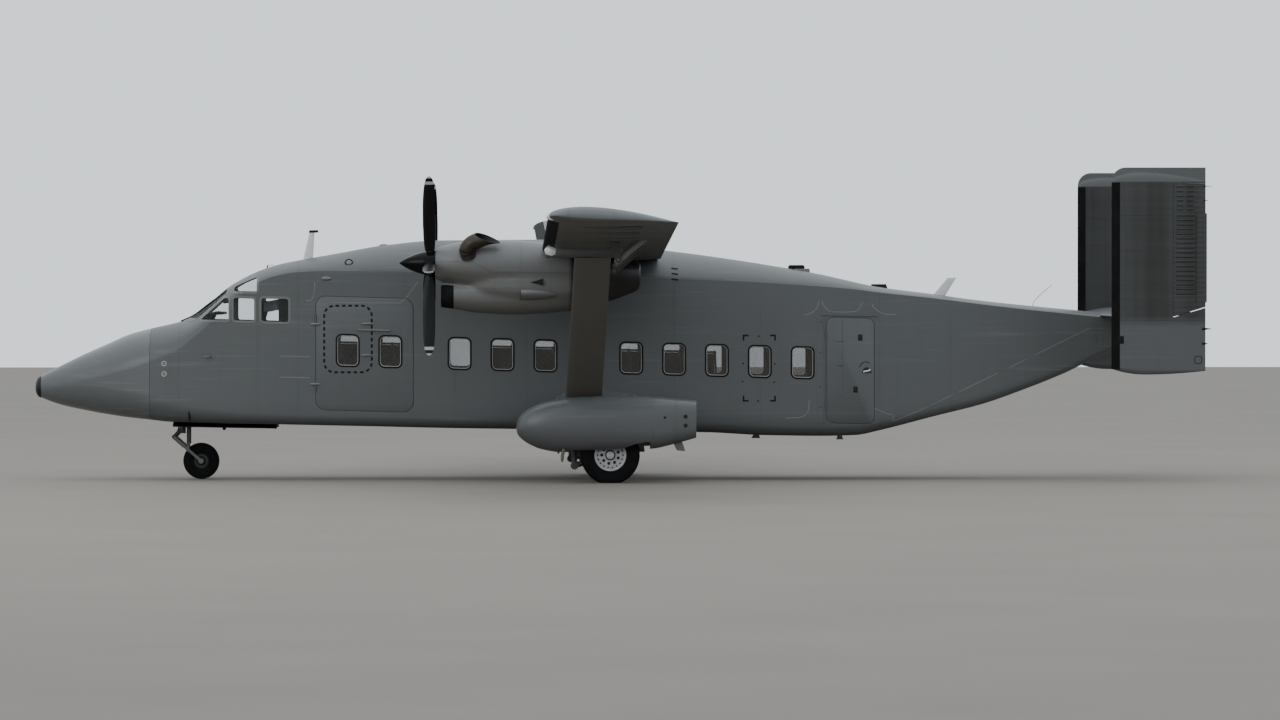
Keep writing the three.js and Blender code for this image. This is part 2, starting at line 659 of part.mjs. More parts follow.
function sponson(side, word) {
  const y = side * MAIN.y;
  const pod = loft(POD.map((row) => podRing(row, y)));
  const [wellOut, wellIn] = [y + side * 175, y - side * 245];
  const [wellLow, wellHigh] = [Math.min(wellOut, wellIn), Math.max(wellOut, wellIn)];
  const wellRadius = MAIN.radius + 40;
  const well = join(
    bar([MAIN.x, wellLow, MAIN.radius], [MAIN.x, wellHigh, MAIN.radius], wellRadius, wellRadius, 24),
    box([MAIN.x - 620, wellLow, 300], [MAIN.x + wellRadius, wellHigh, MAIN.radius + 180]),
  );
  const stubEnd = side * (HULL_HALF + GAP);
  const stub = loft(
    [side * 1950, stubEnd].map((at) =>
      foilRing(0.2, 0.02, (s, h) => [STUB.le + s * STUB.chord, at, STUB.z + h * STUB.chord]),
    ),
  );
  put(aircraft, 'sponson_' + word, cut(join(pod, stub), well), 'grey');

  // Levered leg: a post from the roof of the well, a trailing arm inboard of the wheel, and the axle.
  const inward = y - side * 182;
  const post = { x: MAIN.x - 535, z: 255 };
  const leg = join(
    bar([post.x, inward, post.z], [post.x, inward, 800], 42),
    bar([post.x, inward - 45, post.z], [post.x, inward + 45, post.z], 60),
    bar([post.x, inward, post.z], [MAIN.x, inward, MAIN.radius], 40, 46),
    bar([MAIN.x, inward - side * 40, MAIN.radius], [MAIN.x, y + side * 95, MAIN.radius], 38),
    bar([MAIN.x, inward - 38, MAIN.radius], [MAIN.x, inward + 38, MAIN.radius], 62),
  );
  const roofed = leg.intersect(box([-2000, -3000, 0], [2000, 3000, 1400]));
  put(aircraft, 'main_leg_' + word, cut(roofed, legRoom(y, post)), 'metal');

  wheel(MAIN, y, 'main', word, 38);

  const podUp = loft(POD.map((row) => podRing(row, y, 0.6)));
  const strutRows = [[0, 1000], [1, STRUT.topZ]];
  const strut = loft(
    strutRows.map(([t, z]) => {
      const share = (z - 1300) / (STRUT.topZ - 1300);
      return strutRing(
        STRUT.footY + share * (STRUT.topY - STRUT.footY),
        STRUT.footX + share * (STRUT.topX - STRUT.footX),
        z,
        STRUT.chord - 10 * t,
        side,
      );
    }),
  );
  const bare = cut(strut, podUp);
  put(aircraft, 'strut_' + word, bare.decompose().sort((a, b) => b.volume() - a.volume())[0], 'grey');
}

// The pod round the head of the leg, so that the post stops at its seat.
function legRoom(y, post) {
  return box([post.x - 100, y - 400, MAIN.radius + 180 - GAP], [post.x + 100, y + 400, 1400]);
}

// A wheel and its tyre on an axle at the wheel's centre, in a group at that place.
function wheel(size, y, place, word, axle) {
  const group = new THREE.Group();
  group.position.set(size.x, y, size.radius);
  const [w, r, rim] = [size.width / 2, size.radius, size.rim];
  const suffix = word ? '_' + word : '';
  const hub = [
    [axle + GAP * 2, -w * 0.6], [rim * 0.9, -w * 0.6], [rim + 12, -w * 0.78], [rim, -w * 0.62],
    [rim, w * 0.62], [rim + 12, w * 0.78], [rim * 0.9, w * 0.6], [axle + GAP * 2, w * 0.6],
    [axle + GAP * 2, -w * 0.6],
  ];
  put(group, place + '_wheel' + suffix, turned(hub, [0, 0, 0], [0, 1, 0], 28), 'pale');
  const [bead, side] = [rim + 1, w * 0.62 - 3];
  const tread = [
    [bead, -side], [r * 0.8, -w], [r * 0.93, -w * 0.92], [r * 0.985, -w * 0.55], [r, 0],
    [r * 0.985, w * 0.55], [r * 0.93, w * 0.92], [r * 0.8, w], [bead, side], [bead, -side],
  ];
  put(group, place + '_tyre' + suffix, turned(tread, [0, 0, 0], [0, 1, 0], 28), 'rubber');
  aircraft.add(group);
}

function noseGear() {
  const { x, postX, pivotX, pivotZ, radius } = NOSE;
  const seat = BAY.top - GAP;
  const leg = join(
    bar([postX, 0, 900], [postX, 0, seat], 58, 74),
    bar([postX, 0, 1000], [-6120, 0, seat - 20], 30),
    bar([postX, 0, 960], [postX, 0, 1010], 78),
  );
  put(aircraft, 'nose_leg', leg.intersect(box([-7500, -400, 0], [-5000, 400, seat])), 'metal');
  const tines = [-1, 1].map((s) => s * (NOSE.width / 2 + 42));
  let fork = join(
    bar([postX, 0, 900 - GAP], [postX, 0, 700], 46),
    bar([postX - 20, 0, 760], [pivotX, 0, pivotZ], 34),
    bar([pivotX, -150, pivotZ], [pivotX, 150, pivotZ], 36),
    bar([postX, 0, 840], [-6512, 0, 545], 30),
    bar([-6512, -160, 540], [-6512, 160, 540], 24),
  );
  for (const y of tines) {
    fork = join(
      fork,
      bar([pivotX, y, pivotZ], [x, y, radius], 30, 26),
      bar([-6512, y, 540], [-6512, y, 450], 22),
    );
  }
  fork = join(fork, bar([x, tines[0] - 20, radius], [x, tines[1] + 20, radius], 22));
  put(aircraft, 'nose_fork', fork, 'metal');
  wheel(NOSE, 0, 'nose', '', 22);
  for (const [side, word] of [[-1, 'left'], [1, 'right']]) {
    const [x0, x1] = [BAY.x0 + 30, BAY.x1 - 30];
    const belly = (at) => hullAt(at)[1] - GAP;
    const stations = HULL.map((row) => row[0]).filter((at) => at > x0 && at < x1);
    const rings = [x0, ...stations, x1].map((at) => {
      const z = belly(at);
      const [y, reach] = [side * (BAY.half + 8), side * 262];
      return [[at, y, z], [at, y + reach, z - 92], [at, y + reach, z - 110], [at, y - side * 4, z - 20]];
    });
    put(aircraft, 'bay_door_' + word, loft(rings), 'dark');
  }
}

// Engine cowl sections: x, low z, high z, half width
const COWL = [
  [-2710, 3070, 3530, 225], [-2600, 3030, 3570, 300], [-2350, 2960, 3620, 375], [-1900, 2900, 3660, 420],
  [-1300, 2880, 3640, 430], [-600, 2880, 3560, 425], [100, 2885, 3440, 380], [360, 2950, 3320, 260],
];
const CHIN = [
  [-2580, 2650, 2985, 250], [-2440, 2630, 3010, 280], [-2100, 2570, 3050, 320], [-1540, 2540, 3100, 350],
  [-720, 2590, 3120, 345], [-100, 2740, 3130, 290], [330, 2900, 3150, 180],
];

function cowlRing([x, low, high, half], inset, power) {
  const [mid, tall] = [(low + high) / 2, (high - low) / 2 - inset];
  return Array.from({ length: 16 }, (_, i) => {
    const turn = (2 * Math.PI * i) / 16;
    const [c, s] = [Math.cos(turn), Math.sin(turn)];
    return [
      x,
      (half - inset) * Math.sign(c) * Math.abs(c) ** power,
      mid + tall * Math.sign(s) * Math.abs(s) ** power,
    ];
  });
}

const CORE = { x0: -2330, x1: -600 - GAP, radius: 240, z: 3290 };

function engines() {
  const skin = 45;
  for (const [side, word] of [[-1, 'left'], [1, 'right']]) {
    const y = side * NACELLE_Y;
    const shift = (ring) => ring.map(([px, py, pz]) => [px, py + y, pz]);
    const cowl = loft(COWL.map((row) => shift(cowlRing(row, 0, 0.9))));
    const chin = loft(CHIN.map((row) => shift(cowlRing(row, 0, 0.85))));
    const hollow = loft(
      COWL.slice(1, 6).map((row) => shift(cowlRing(row, skin, 0.9))),
    );
    const [lip, ...throat] = CHIN.slice(0, 4);
    const duct = loft(
      [[lip[0] - 20, ...lip.slice(1)], ...throat].map((row) => shift(cowlRing(row, skin, 0.85))),
    );
    const mouth = bar([-2800, y, HUB.z], [-2500, y, HUB.z], 96);
    const wingGap = 0.5;
    const room = loft(
      [WING.bend - 100, WING.bend, 3600].map((at) => side * at).map((at) =>
        wingRing(at).map(([px, py, pz]) => {
          const mid = wingLine(at, (px - WING.le) / WING.chord);
          return [px + (px < 0 ? -1 : 1) * wingGap, py, pz + Math.sign(pz - mid) * wingGap];
        }),
      ),
    );
    let shell = cut(join(cowl, chin), hollow, duct, mouth, room);
    shell = shell.decompose().sort((a, b) => b.volume() - a.volume())[0];
    put(aircraft, 'nacelle_' + word, shell, 'grey');

    // One plain block stands for the engine.
    const block = bar([CORE.x0, y, CORE.z], [CORE.x1, y, CORE.z], CORE.radius, CORE.radius * 0.9, 24);
    put(aircraft, 'engine_' + word, cut(block, room), 'metal');

    propeller(y, word);
    for (const [flank, tag] of [[-1, 'outer'], [1, 'inner']]) {
      const out = side * (flank < 0 ? 1 : -1);
      const path = new THREE.CatmullRomCurve3(
        [[-2200, 350, 3420], [-2160, 400, 3560], [-2010, 430, 3660], [-1780, 440, 3690]].map(
          ([px, off, pz]) => new THREE.Vector3(px, y + out * off, pz),
        ),
      );
      const shape = new THREE.Shape();
      shape.absarc(0, 0, 105, 0, 2 * Math.PI);
      const tube = new THREE.ExtrudeGeometry(shape, { steps: 4, curveSegments: 5, extrudePath: path });
      const bore = new THREE.Shape();
      bore.absarc(0, 0, 88, 0, 2 * Math.PI);
      const inner = new THREE.ExtrudeGeometry(bore, { steps: 4, curveSegments: 5, extrudePath: path });
      let stub = cut(solidOf(tube), cut(solidOf(inner), box([-3000, y - 2000, 0], [3000, y + 2000, 3560])));
      stub = cut(stub, loft(COWL.map((row) => shift(cowlRing(row, -0.5, 0.9)))));
      stub = stub.decompose().sort((a, b) => b.volume() - a.volume())[0];
      put(aircraft, 'exhaust_' + word + '_' + tag, stub, 'heat');
    }
  }
}

// Blade sections: radius, leading edge ahead of the hub's plane, trailing edge behind it, half thickness
const BLADE = [
  [150, 62, 34, 40], [300, 90, 38, 30], [450, 104, 70, 19], [650, 106, 92, 14], [1100, 102, 94, 10],
  [1330, 88, 76, 8], [1410, 40, 28, 5],
];

function propeller(y, word) {
  const group = new THREE.Group();
  group.position.set(HUB.x, y, HUB.z);
  const base = 50 - GAP;
  const spinner = [
    [0, base], [HUB.radius, base], [HUB.radius, -40], [170, -120], [140, -230], [95, -340], [45, -430],
    [0, -480],
  ];
  const shaft = bar([0, 0, 0], [CORE.x0 - HUB.x - GAP, 0, 0], 60);
  let rotor = join(turned(spinner, [0, 0, 0], [1, 0, 0], 16), shaft);
  for (let i = 0; i < HUB.blades; i++) {
    const turn = THREE.MathUtils.degToRad(HUB.first + (360 / HUB.blades) * i);
    const rings = BLADE.map(([r, lead, trail, thick]) => {
      const [chord, middle] = [(lead + trail) / 2, (trail - lead) / 2];
      const skew = 0.12 - 0.1 * (r / HUB.blade);
      return Array.from({ length: 6 }, (_, k) => {
        const a = (2 * Math.PI * k) / 6;
        const along = chord * Math.cos(a);
        const across = thick * Math.sin(a) + skew * along;
        return [
          middle + along,
          -r * Math.sin(turn) + across * Math.cos(turn),
          r * Math.cos(turn) + across * Math.sin(turn),
        ];
      });
    });
    rotor = join(rotor, loft(rings));
  }
  put(group, 'propeller_' + word, rotor, 'black');
  aircraft.add(group);
}

function finRing(z, y, scale = 1) {
  const chord = FIN.te - FIN.le;
  return foilRing(0.1 * scale, 0, (s, h) => [
    FIN.le + (1 - scale) * 90 + s * (chord - (1 - scale) * 150),
    y + h * chord,
    z,
  ]);
}

function tailplaneRing(y, grow = 0) {
  const chord = TAIL.te - TAIL.le;
  return foilRing(0.12, 0, (s, h) => [
    TAIL.le + s * chord + (s < 0.5 ? -grow : grow),
    y,
    TAIL.z - s * 30 + h * chord + Math.sign(h) * grow,
  ]);
}

function tail(shell) {
  const whole = loft([-TAIL.half, TAIL.half].map((y) => tailplaneRing(y)));
  const hingeZ = TAIL.z - 20;
  const noseRadius = 52;
  const tipY = TAIL.elevator;
  const aft = box([TAIL.hinge, -tipY, 2000], [9500, tipY, 3200]);
  const elevatorNose = (grow) =>
    bar([TAIL.hinge, -tipY, hingeZ], [TAIL.hinge, tipY, hingeZ], noseRadius + grow, noseRadius + grow, 24);
  const span = box([7000, -tipY + END_GAP, 2000], [9500, tipY - END_GAP, 3200]);
  const pins = (r, grow) =>
    [-1, 1].map((s) => {
      const [from, to] = [s * (tipY - PIN.root), s * (tipY + PIN.reach + grow)];
      return bar([TAIL.hinge, from, hingeZ], [TAIL.hinge, to, hingeZ], r, r, PIN.sides);
    });
  const elevator = join(whole.intersect(aft), elevatorNose(0)).intersect(span);
  const outerAft = [-1, 1].map((s) =>
    join(
      box([TAIL.hinge + 60, s < 0 ? -3000 : tipY - 10, 2000], [9500, s < 0 ? -tipY + 10 : 3000, 3200]),
      box([TAIL.hinge - 5, s < 0 ? -3000 : 2776, 2000], [9500, s < 0 ? -2776 : 3000, 3200]),
    ),
  );
  const plane = cut(whole, aft, elevatorNose(MOVE_GAP), ...outerAft, ...pins(PIN.hole, GAP));
  put(aircraft, 'tailplane', plane, 'grey');
  put(aircraft, 'elevator', join(elevator, ...pins(PIN.radius, 0)), 'grey');
  const room = join(
    loft([-1500, 1500].map((y) => tailplaneRing(y, 0.5))),
    box([TAIL.hinge - 90, -1500, 2380], [9500, 1500, 3200]),
  );
  const saddle = box([TAIL.le + 90, -160, 2380], [TAIL.hinge - 200, 160, TAIL.z + 15]);
  put(aircraft, 'tail_shell', cut(join(shell, saddle), room), 'grey');

  for (const [side, word] of [[-1, 'left'], [1, 'right']]) {
    const y = side * FIN.y;
    const zs = [[FIN.foot, 0.55], [FIN.foot + 70, 0.9], [FIN.foot + 190, 1], [FIN.cap, 1]];
    const caps = [[4640, 0.92], [4705, 0.7], [FIN.top, 0.35]];
    const body = loft([...zs, ...caps].map(([z, scale]) => finRing(z, y, scale)));
    // The rudder runs from a slanted foot to the cap.
    const rudderTop = FIN.cap - 12;
    const rudderSide = (grow) => [
      [FIN.hinge, 2510 - grow], [9200, 2760 - grow],
      [9200, rudderTop + grow], [FIN.hinge, rudderTop + grow],
    ];
    const nose = (grow, ends) =>
      bar([FIN.hinge, y, 2515 - ends], [FIN.hinge, y, rudderTop + ends], 46 + grow, 46 + grow, 24);
    const slab = (grow) => prism(rudderSide(grow), 'y', y - 300, y + 300);
    const pin = (r, grow) =>
      [[2515, -1], [rudderTop, 1]].map(([z, way]) =>
        bar(
          [FIN.hinge, y, z - way * PIN.root],
          [FIN.hinge, y, z + way * (12 + PIN.reach + grow)],
          r,
          r,
          PIN.sides,
        ),
      );
    const trimmed = cut(body, slab(12), nose(MOVE_GAP, 12), ...pin(PIN.hole, GAP));
    const joined = side < 0 ? [-TAIL.half - GAP, y + 1000] : [y - 1000, TAIL.half + GAP];
    const socket = loft(
      [joined[0], joined[1]].map((at) => tailplaneRing(at, 0.5)),
    );
    put(aircraft, 'fin_' + word, cut(trimmed, socket), 'grey');
    const tab = box([8690, y - 9, 2720], [8860, y + 9, 4060]);
    const rudder = join(body.intersect(slab(0)), nose(0, 0), tab, ...pin(PIN.radius, 0));
    put(aircraft, 'rudder_' + word, rudder, 'grey');
  }
}

nose();
cockpit();
cabin(wings());
for (const [side, word] of [[-1, 'left'], [1, 'right']]) sponson(side, word);
noseGear();
engines();
tail(tailShell());

export default aircraft;
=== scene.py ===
# %% [markdown]
# # A parked twin-turboprop transport
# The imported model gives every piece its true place. This lesson gives the aircraft its skin:
# smooth painted panels, glass, rubber, oily metal. Almost everything here is a surface worked
# out with numpy, because an airframe is made of lofted sections that change evenly along it.
# +X points aft, -Y is the aircraft's left side, +Z is up, and lengths are in metres.

import bmesh
import bpy
import numpy as np
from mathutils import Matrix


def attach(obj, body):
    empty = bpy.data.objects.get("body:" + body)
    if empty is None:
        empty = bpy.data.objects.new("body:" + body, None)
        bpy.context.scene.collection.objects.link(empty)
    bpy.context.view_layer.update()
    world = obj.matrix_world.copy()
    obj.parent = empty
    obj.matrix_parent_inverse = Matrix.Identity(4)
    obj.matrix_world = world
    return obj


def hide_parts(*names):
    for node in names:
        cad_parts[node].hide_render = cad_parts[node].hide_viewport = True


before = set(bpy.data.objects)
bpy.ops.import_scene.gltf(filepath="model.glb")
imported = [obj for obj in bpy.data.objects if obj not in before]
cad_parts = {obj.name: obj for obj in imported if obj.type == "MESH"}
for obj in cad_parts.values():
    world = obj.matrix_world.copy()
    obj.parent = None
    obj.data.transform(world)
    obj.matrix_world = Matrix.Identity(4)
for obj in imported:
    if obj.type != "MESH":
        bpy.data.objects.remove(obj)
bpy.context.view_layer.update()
SIDES = ((-1, "left"), (1, "right"))  # the sign of y, and the word in the names of pieces

# %% [markdown]
# ## The camera and the light
# The aircraft was photographed through a long lens from about a hundred metres away, so it looks
# almost flat. The same lens and distance are used here, with the camera a little above the wheels
# and turned slightly towards the tail. The light is an overcast sky over a pale floor: one very
# large lamp above, a weak world light, and nothing that throws a hard shadow.

# %% Camera
VIEW = {"place": (-2.09, -103.0, 3.185), "lens": 188.3, "sensor": 36.0, "yaw": -1.4, "dip": 0.757}
camera_data = bpy.data.cameras.new("long_lens")
camera_data.lens = VIEW["lens"]
camera_data.sensor_width = VIEW["sensor"]
camera_data.clip_end = 600
camera = bpy.data.objects.new("long_lens", camera_data)
camera.location = VIEW["place"]
camera.rotation_euler = np.radians([90 - VIEW["dip"], 0.0, VIEW["yaw"]])
bpy.context.collection.objects.link(camera)
bpy.context.scene.camera = camera


# %% Lamps and world
def lamp(name, place, size, power, turn=(0, 0, 0)):
    """A square area lamp that shines down, turned by angles in degrees."""
    data = bpy.data.lights.new(name, "AREA")
    data.size = size
    data.energy = power
    made = bpy.data.objects.new(name, data)
    made.location = place
    made.rotation_euler = np.radians(turn)
    bpy.context.collection.objects.link(made)


lamp("overcast_sky", (0, -2, 26), 34, 1700)
lamp("bright_quarter", (-26, -30, 14), 18, 2300, (62, 0, -40))
world = bpy.data.worlds.new("pale_room")
world.use_nodes = True
world.node_tree.nodes["Background"].inputs["Color"].default_value = (0.875, 0.94, 1.0, 1)
world.node_tree.nodes["Background"].inputs["Strength"].default_value = 1.31
bpy.context.scene.world = world

# %% [markdown]
# ## Two small helpers for maths
# Node maths is easier to read as Python. `Wire` holds one socket and adds a Math node each time it
# meets +, -, * or /. `Graph` owns one material and makes every other node.


# %% Wires and graphs
class Wire:
    """One socket of a node tree; arithmetic on it adds Math nodes."""

    def __init__(self, graph, socket):
        self.graph = graph
        self.socket = socket

    def maths(self, operation, *others, clamp=False):
        values = dict(enumerate([self, *others]))
        made = self.graph.node("Math", {"operation": operation, "use_clamp": clamp}, values)
        return made["Value"]

    def __add__(self, other):
        return self.maths("ADD", other)

    def __sub__(self, other):
        return self.maths("SUBTRACT", other)

    def __mul__(self, other):
        return self.maths("MULTIPLY", other)

    def __truediv__(self, other):
        return self.maths("DIVIDE", other)

    def __rsub__(self, other):
        return (self * -1) + other

    def __abs__(self):
        return self.maths("ABSOLUTE")

    def __mod__(self, other):
        return self.maths("FLOORED_MODULO", other)

    __radd__ = __add__
    __rmul__ = __mul__

    def clamped(self):
        return self.maths("ADD", 0.0, clamp=True)

    def most(self, other):
        return self.maths("MAXIMUM", other)


class Made:
    """A finished node whose outputs are read by name or number as wires."""

    def __init__(self, graph, node):
        self.graph = graph
        self.node = node

    def __getitem__(self, name):
        return Wire(self.graph, self.node.outputs[name])


class Graph:
    """A material under construction."""

    def __init__(self, name):
        self.material = bpy.data.materials.new(name)
        self.material.use_nodes = True
        self.tree = self.material.node_tree
        self.shader = self.tree.nodes["Principled BSDF"]

    def node(self, kind, settings=None, sockets=None):
        made = self.tree.nodes.new("ShaderNode" + kind)
        for key, value in (settings or {}).items():
            setattr(made, key, value)
        for key, value in (sockets or {}).items():
            self.feed(made.inputs[key], value)
        return Made(self, made)

    def feed(self, socket, value):
        if isinstance(value, Wire):
            self.tree.links.new(value.socket, socket)
        else:
            socket.default_value = value

    def painted(self, color, rough, shine, height, strength):
        """Ends a paint: colour, gloss and shine, dimpled by a height."""
        normal = self.bump(height, strength)
        return self.finish(
            Base_Color=color, Roughness=rough, Specular_IOR_Level=shine, Normal=normal)

    def finish(self, **sockets):
        """Sets the shader's own sockets; words are joined by _ in place of a space."""
        for key, value in sockets.items():
            self.feed(self.shader.inputs[key.replace("_", " ")], value)
        return self.material

    def place(self):
        """The x, y and z of the surface in the aircraft's own frame, as three wires."""
        here = self.node("TexCoord")["Object"]
        apart = self.node("SeparateXYZ", {}, {0: here})
        return apart["X"], apart["Y"], apart["Z"]

    def stretched(self, scale, shift=(0, 0, 0)):
        """The place with each axis scaled, for patterns that run in one direction."""
        sockets = {"Vector": self.node("TexCoord")["Object"], "Scale": scale, "Location": shift}
        return self.node("Mapping", {}, sockets)["Vector"]

    def noise(self, scale, detail=4.0, rough=0.55, where=None):
        sockets = {"Scale": scale, "Detail": detail, "Roughness": rough}
        sockets["Vector"] = where or self.node("TexCoord")["Object"]
        return self.node("TexNoise", {}, sockets)["Fac"]

    def streaks(self, stretch, detail, rough):
        """Noise that is long where stretch is small and short where it is large."""
        return self.noise(1.0, detail, rough, self.stretched(stretch))

    def mix(self, share, a, b):
        """Colour a changes to colour b as share goes from 0 to 1."""
        return self.node("Mix", {"data_type": "RGBA"}, {0: share, 6: a, 7: b})[2]

    def bump(self, height, strength, distance=0.002):
        sockets = {"Height": height, "Strength": strength, "Distance": distance}
        return self.node("Bump", {}, sockets)["Normal"]


def step_up(value, start, end):
    """0 below start, 1 above end, straight between them."""
    return ((value - start) / (end - start)).clamped()


def stripe(value, centre, half, soft):
    """1 within half of the centre, falling to 0 over soft."""
    return (((abs(value - centre)) * -1 + (half + soft)) / soft).clamped()


def grey(level, tint=(1.0, 1.0, 1.0)):
    """A neutral colour at a linear level, tinted."""
    return (level * tint[0], level * tint[1], level * tint[2], 1.0)


print("node helpers ready")

# %% [markdown]
# ## Surfaces from grids
# A loft is a table of points: each row is one section of the form, each column one line along it.
# The faces follow from the table's shape alone, so there is never a loop over vertices.


# %% Grids of points to meshes
def xyz(x, y, z):
    """Points from tables of x, y and z, each stretched to the shape that they share."""
    return np.stack(np.broadcast_arrays(x, y, z), axis=-1)


def full_turn(count):
    return np.linspace(0, 2 * np.pi, count, endpoint=False)


def quarter_turn(count):
    return np.linspace(0, np.pi / 2, count)


def skin(points, around=True, ends=True):
    """Quads over a table of points (rows, columns, xyz). around joins the last column to the
    first, and ends closes the first and last rows with one flat face each."""
    rows, columns = points.shape[:2]
    index = np.arange(rows * columns).reshape(rows, columns)
    near = index if around else index[:, :-1]
    far = np.roll(index, -1, axis=1) if around else index[:, 1:]
    quads = np.stack([near[:-1], far[:-1], far[1:], near[1:]], axis=-1).reshape(-1, 4).tolist()
    if ends:
        quads += [index[0, ::-1].tolist(), index[-1].tolist()]
    return points.reshape(-1, 3), quads


def shell(outer, inner):
    """A closed wall between two tables of the same shape, joined at their end rows."""
    wall = np.concatenate([outer, inner[::-1], outer[:1]], axis=0)
    return skin(wall, around=True, ends=False)


def gathered(parts):
    """Several (points, faces) pairs as one."""
    points, faces, start = [], [], 0
    for some, corners in parts:
        points.append(np.asarray(some, float).reshape(-1, 3))
        faces += [[start + v for v in face] for face in corners]
        start += len(points[-1])
    return np.concatenate(points), faces


SHARP_EDGE = 32  # degrees between two faces from which their edge stays sharp
SAME_PLACE = 1e-5


def mesh_of(name, parts):
    """One mesh with doubled points merged and faces outwards, smooth except at sharp edges."""
    points, faces = gathered(parts)
    mesh = bpy.data.meshes.new(name)
    mesh.from_pydata(points.tolist(), [], faces)
    work = bmesh.new()
    work.from_mesh(mesh)
    bmesh.ops.remove_doubles(work, verts=work.verts, dist=SAME_PLACE)
    bmesh.ops.recalc_face_normals(work, faces=work.faces)
    work.to_mesh(mesh)
    work.free()
    smooth(mesh)
    return mesh


def smooth(mesh):
    mesh.polygons.foreach_set("use_smooth", np.ones(len(mesh.polygons), bool))
    mesh.set_sharp_from_angle(angle=np.radians(SHARP_EDGE))


def piece(name, parts, look, body="airframe", stands_for=()):
    """A finished piece of the aircraft: its mesh, its finish, and the body that it moves with."""
    made = bpy.data.objects.new(name, mesh_of(name, parts))
    bpy.context.collection.objects.link(made)
    made.data.materials.append(look)
    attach(made, body)
    if stands_for:
        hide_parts(*stands_for)
    return made


def settle(made):
    """Turns a piece's modifiers into plain mesh and keeps its finishes."""
    settled = made.evaluated_get(bpy.context.evaluated_depsgraph_get())
    looks = list(made.data.materials)
    fresh = bpy.data.meshes.new_from_object(settled)
    fresh.name = made.name
    made.modifiers.clear()
    made.data = fresh
    fresh.materials.clear()
    for look in looks:
        fresh.materials.append(look)
    fresh.polygons.foreach_set("material_index", np.zeros(len(fresh.polygons), np.int32))
    smooth(fresh)


def carve(made, tools, operation="DIFFERENCE"):
    """Cuts every tool, a (points, faces) pair, out of a piece, or keeps what is inside them."""
    cutter = bpy.data.objects.new("cutter", mesh_of("cutter", tools))
    bpy.context.collection.objects.link(cutter)
    change = made.modifiers.new("cut", "BOOLEAN")
    change.operation = operation
    change.object = cutter
    change.solver = "EXACT"
    settle(made)
    bpy.data.objects.remove(cutter)
    return made


def blended(made, cell=0.02, rounds=30):
    """Evens a piece's mesh out and relaxes it, so that joined forms run into one another."""
    even = made.modifiers.new("even", "REMESH")
    even.mode, even.voxel_size = "VOXEL", cell
    soft = made.modifiers.new("soft", "SMOOTH")
    soft.factor, soft.iterations = 0.5, rounds
    settle(made)


def carve_each(made, tools):
    """Cuts tools that overlap one another, one after the other."""
    for tool in tools:
        carve(made, [tool])


print("mesh helpers ready")


# %% Round bars, turned forms, plates and edge trims
def unit(vector):
    vector = np.asarray(vector, float)
    return vector / np.maximum(np.linalg.norm(vector, axis=-1, keepdims=True), 1e-12)


def across(direction):
    """Two unit vectors at right angles to each direction and to each other."""
    direction = unit(direction)
    helper = np.where(np.abs(direction[..., 2:3]) > 0.9, [1.0, 0, 0], [0, 0, 1.0])
    first = unit(np.cross(helper, direction))
    return first, np.cross(direction, first)


def ringed(path, radius, sides=16):
    """A ring carried along a path: each point plus the radius times the cosine of one cross vector
    and the sine of another."""
    path = np.asarray(path, float)
    radius = np.broadcast_to(np.asarray(radius, float), len(path))
    first, second = across(np.gradient(path, axis=0))
    turn = full_turn(sides)
    ring = first[:, None] * np.cos(turn)[:, None] + second[:, None] * np.sin(turn)[:, None]
    return path[:, None] + ring * radius[:, None, None]


def tube(path, radius, sides=16):
    return skin(ringed(path, radius, sides))


def turned(profile, origin, axis, sides=48):
    """A profile of [distance along, radius] swung once round an axis through the origin."""
    profile = np.asarray(profile, float)
    first, second = across(np.asarray(axis, float))
    turn = full_turn(sides)
    ring = first * np.cos(turn)[:, None] + second * np.sin(turn)[:, None]
    along = np.asarray(origin) + profile[:, :1] * unit(axis)
    open_ended = not np.allclose(profile[0], profile[-1])
    return skin(along[:, None] + ring[None] * profile[:, 1:, None], ends=open_ended)


def drum(low, high, radius):
    """The profile of a plain round bar, for turned."""
    return [(low, 0.001), (low, radius), (high, radius), (high, 0.001)]


def both_ends(profile):
    """A half profile followed by its own mirror image."""
    return [*profile, *[(-along, radius) for along, radius in profile[::-1]]]


def eased(points, steps=6):
    """A smooth curve through the points: a Catmull-Rom blend worked out for all steps at once."""
    points = np.asarray(points, float)
    p = np.concatenate([2 * points[:1] - points[1:2], points, 2 * points[-1:] - points[-2:-1]])
    t = np.linspace(0, 1, steps, endpoint=False)[:, None, None]
    a, b, c, d = p[:-3], p[1:-2], p[2:-1], p[3:]
    curve = b + 0.5 * t * (c - a + t * (2 * a - 5 * b + 4 * c - d + t * (3 * (b - c) + d - a)))
    return np.concatenate([curve.transpose(1, 0, 2).reshape(-1, points.shape[1]), points[-1:]])


def rounded(width, height, radius, steps=6):
    """The outline of a rectangle with round corners, centred on zero, as (u, v) points."""
    turn = quarter_turn(steps)
    arc = np.stack([np.cos(turn), np.sin(turn)], axis=-1) * radius
    corner = np.array([width / 2 - radius, height / 2 - radius])
    quarters = []
    for flip, order in [((1, 1), 1), ((-1, 1), -1), ((-1, -1), 1), ((1, -1), -1)]:
        quarters.append(((corner + arc) * flip)[::order])
    return np.concatenate(quarters)


def slab(outline, low, high, place):
    """A flat outline given thickness from low to high; place turns (u, v, height) to xyz."""
    outline = np.asarray(outline, float)
    return skin(np.stack([place(*outline.T, height) for height in (low, high)]))


def moved_out(outline, distance):
    """An outline moved away from its own middle, at right angles to its edges."""
    outline = np.asarray(outline, float)
    along = np.roll(outline, -1, axis=0) - np.roll(outline, 1, axis=0)
    return outline + unit(np.stack([along[:, 1], -along[:, 0]], axis=-1)) * distance


def trim(outline, profile, place):
    """A moulding round an outline: profile points are (outwards, height) offsets from it."""
    rows = [place(*moved_out(outline, aside).T, height)
        for aside, height in [*profile, profile[0]]]
    return skin(np.stack(rows), ends=False)


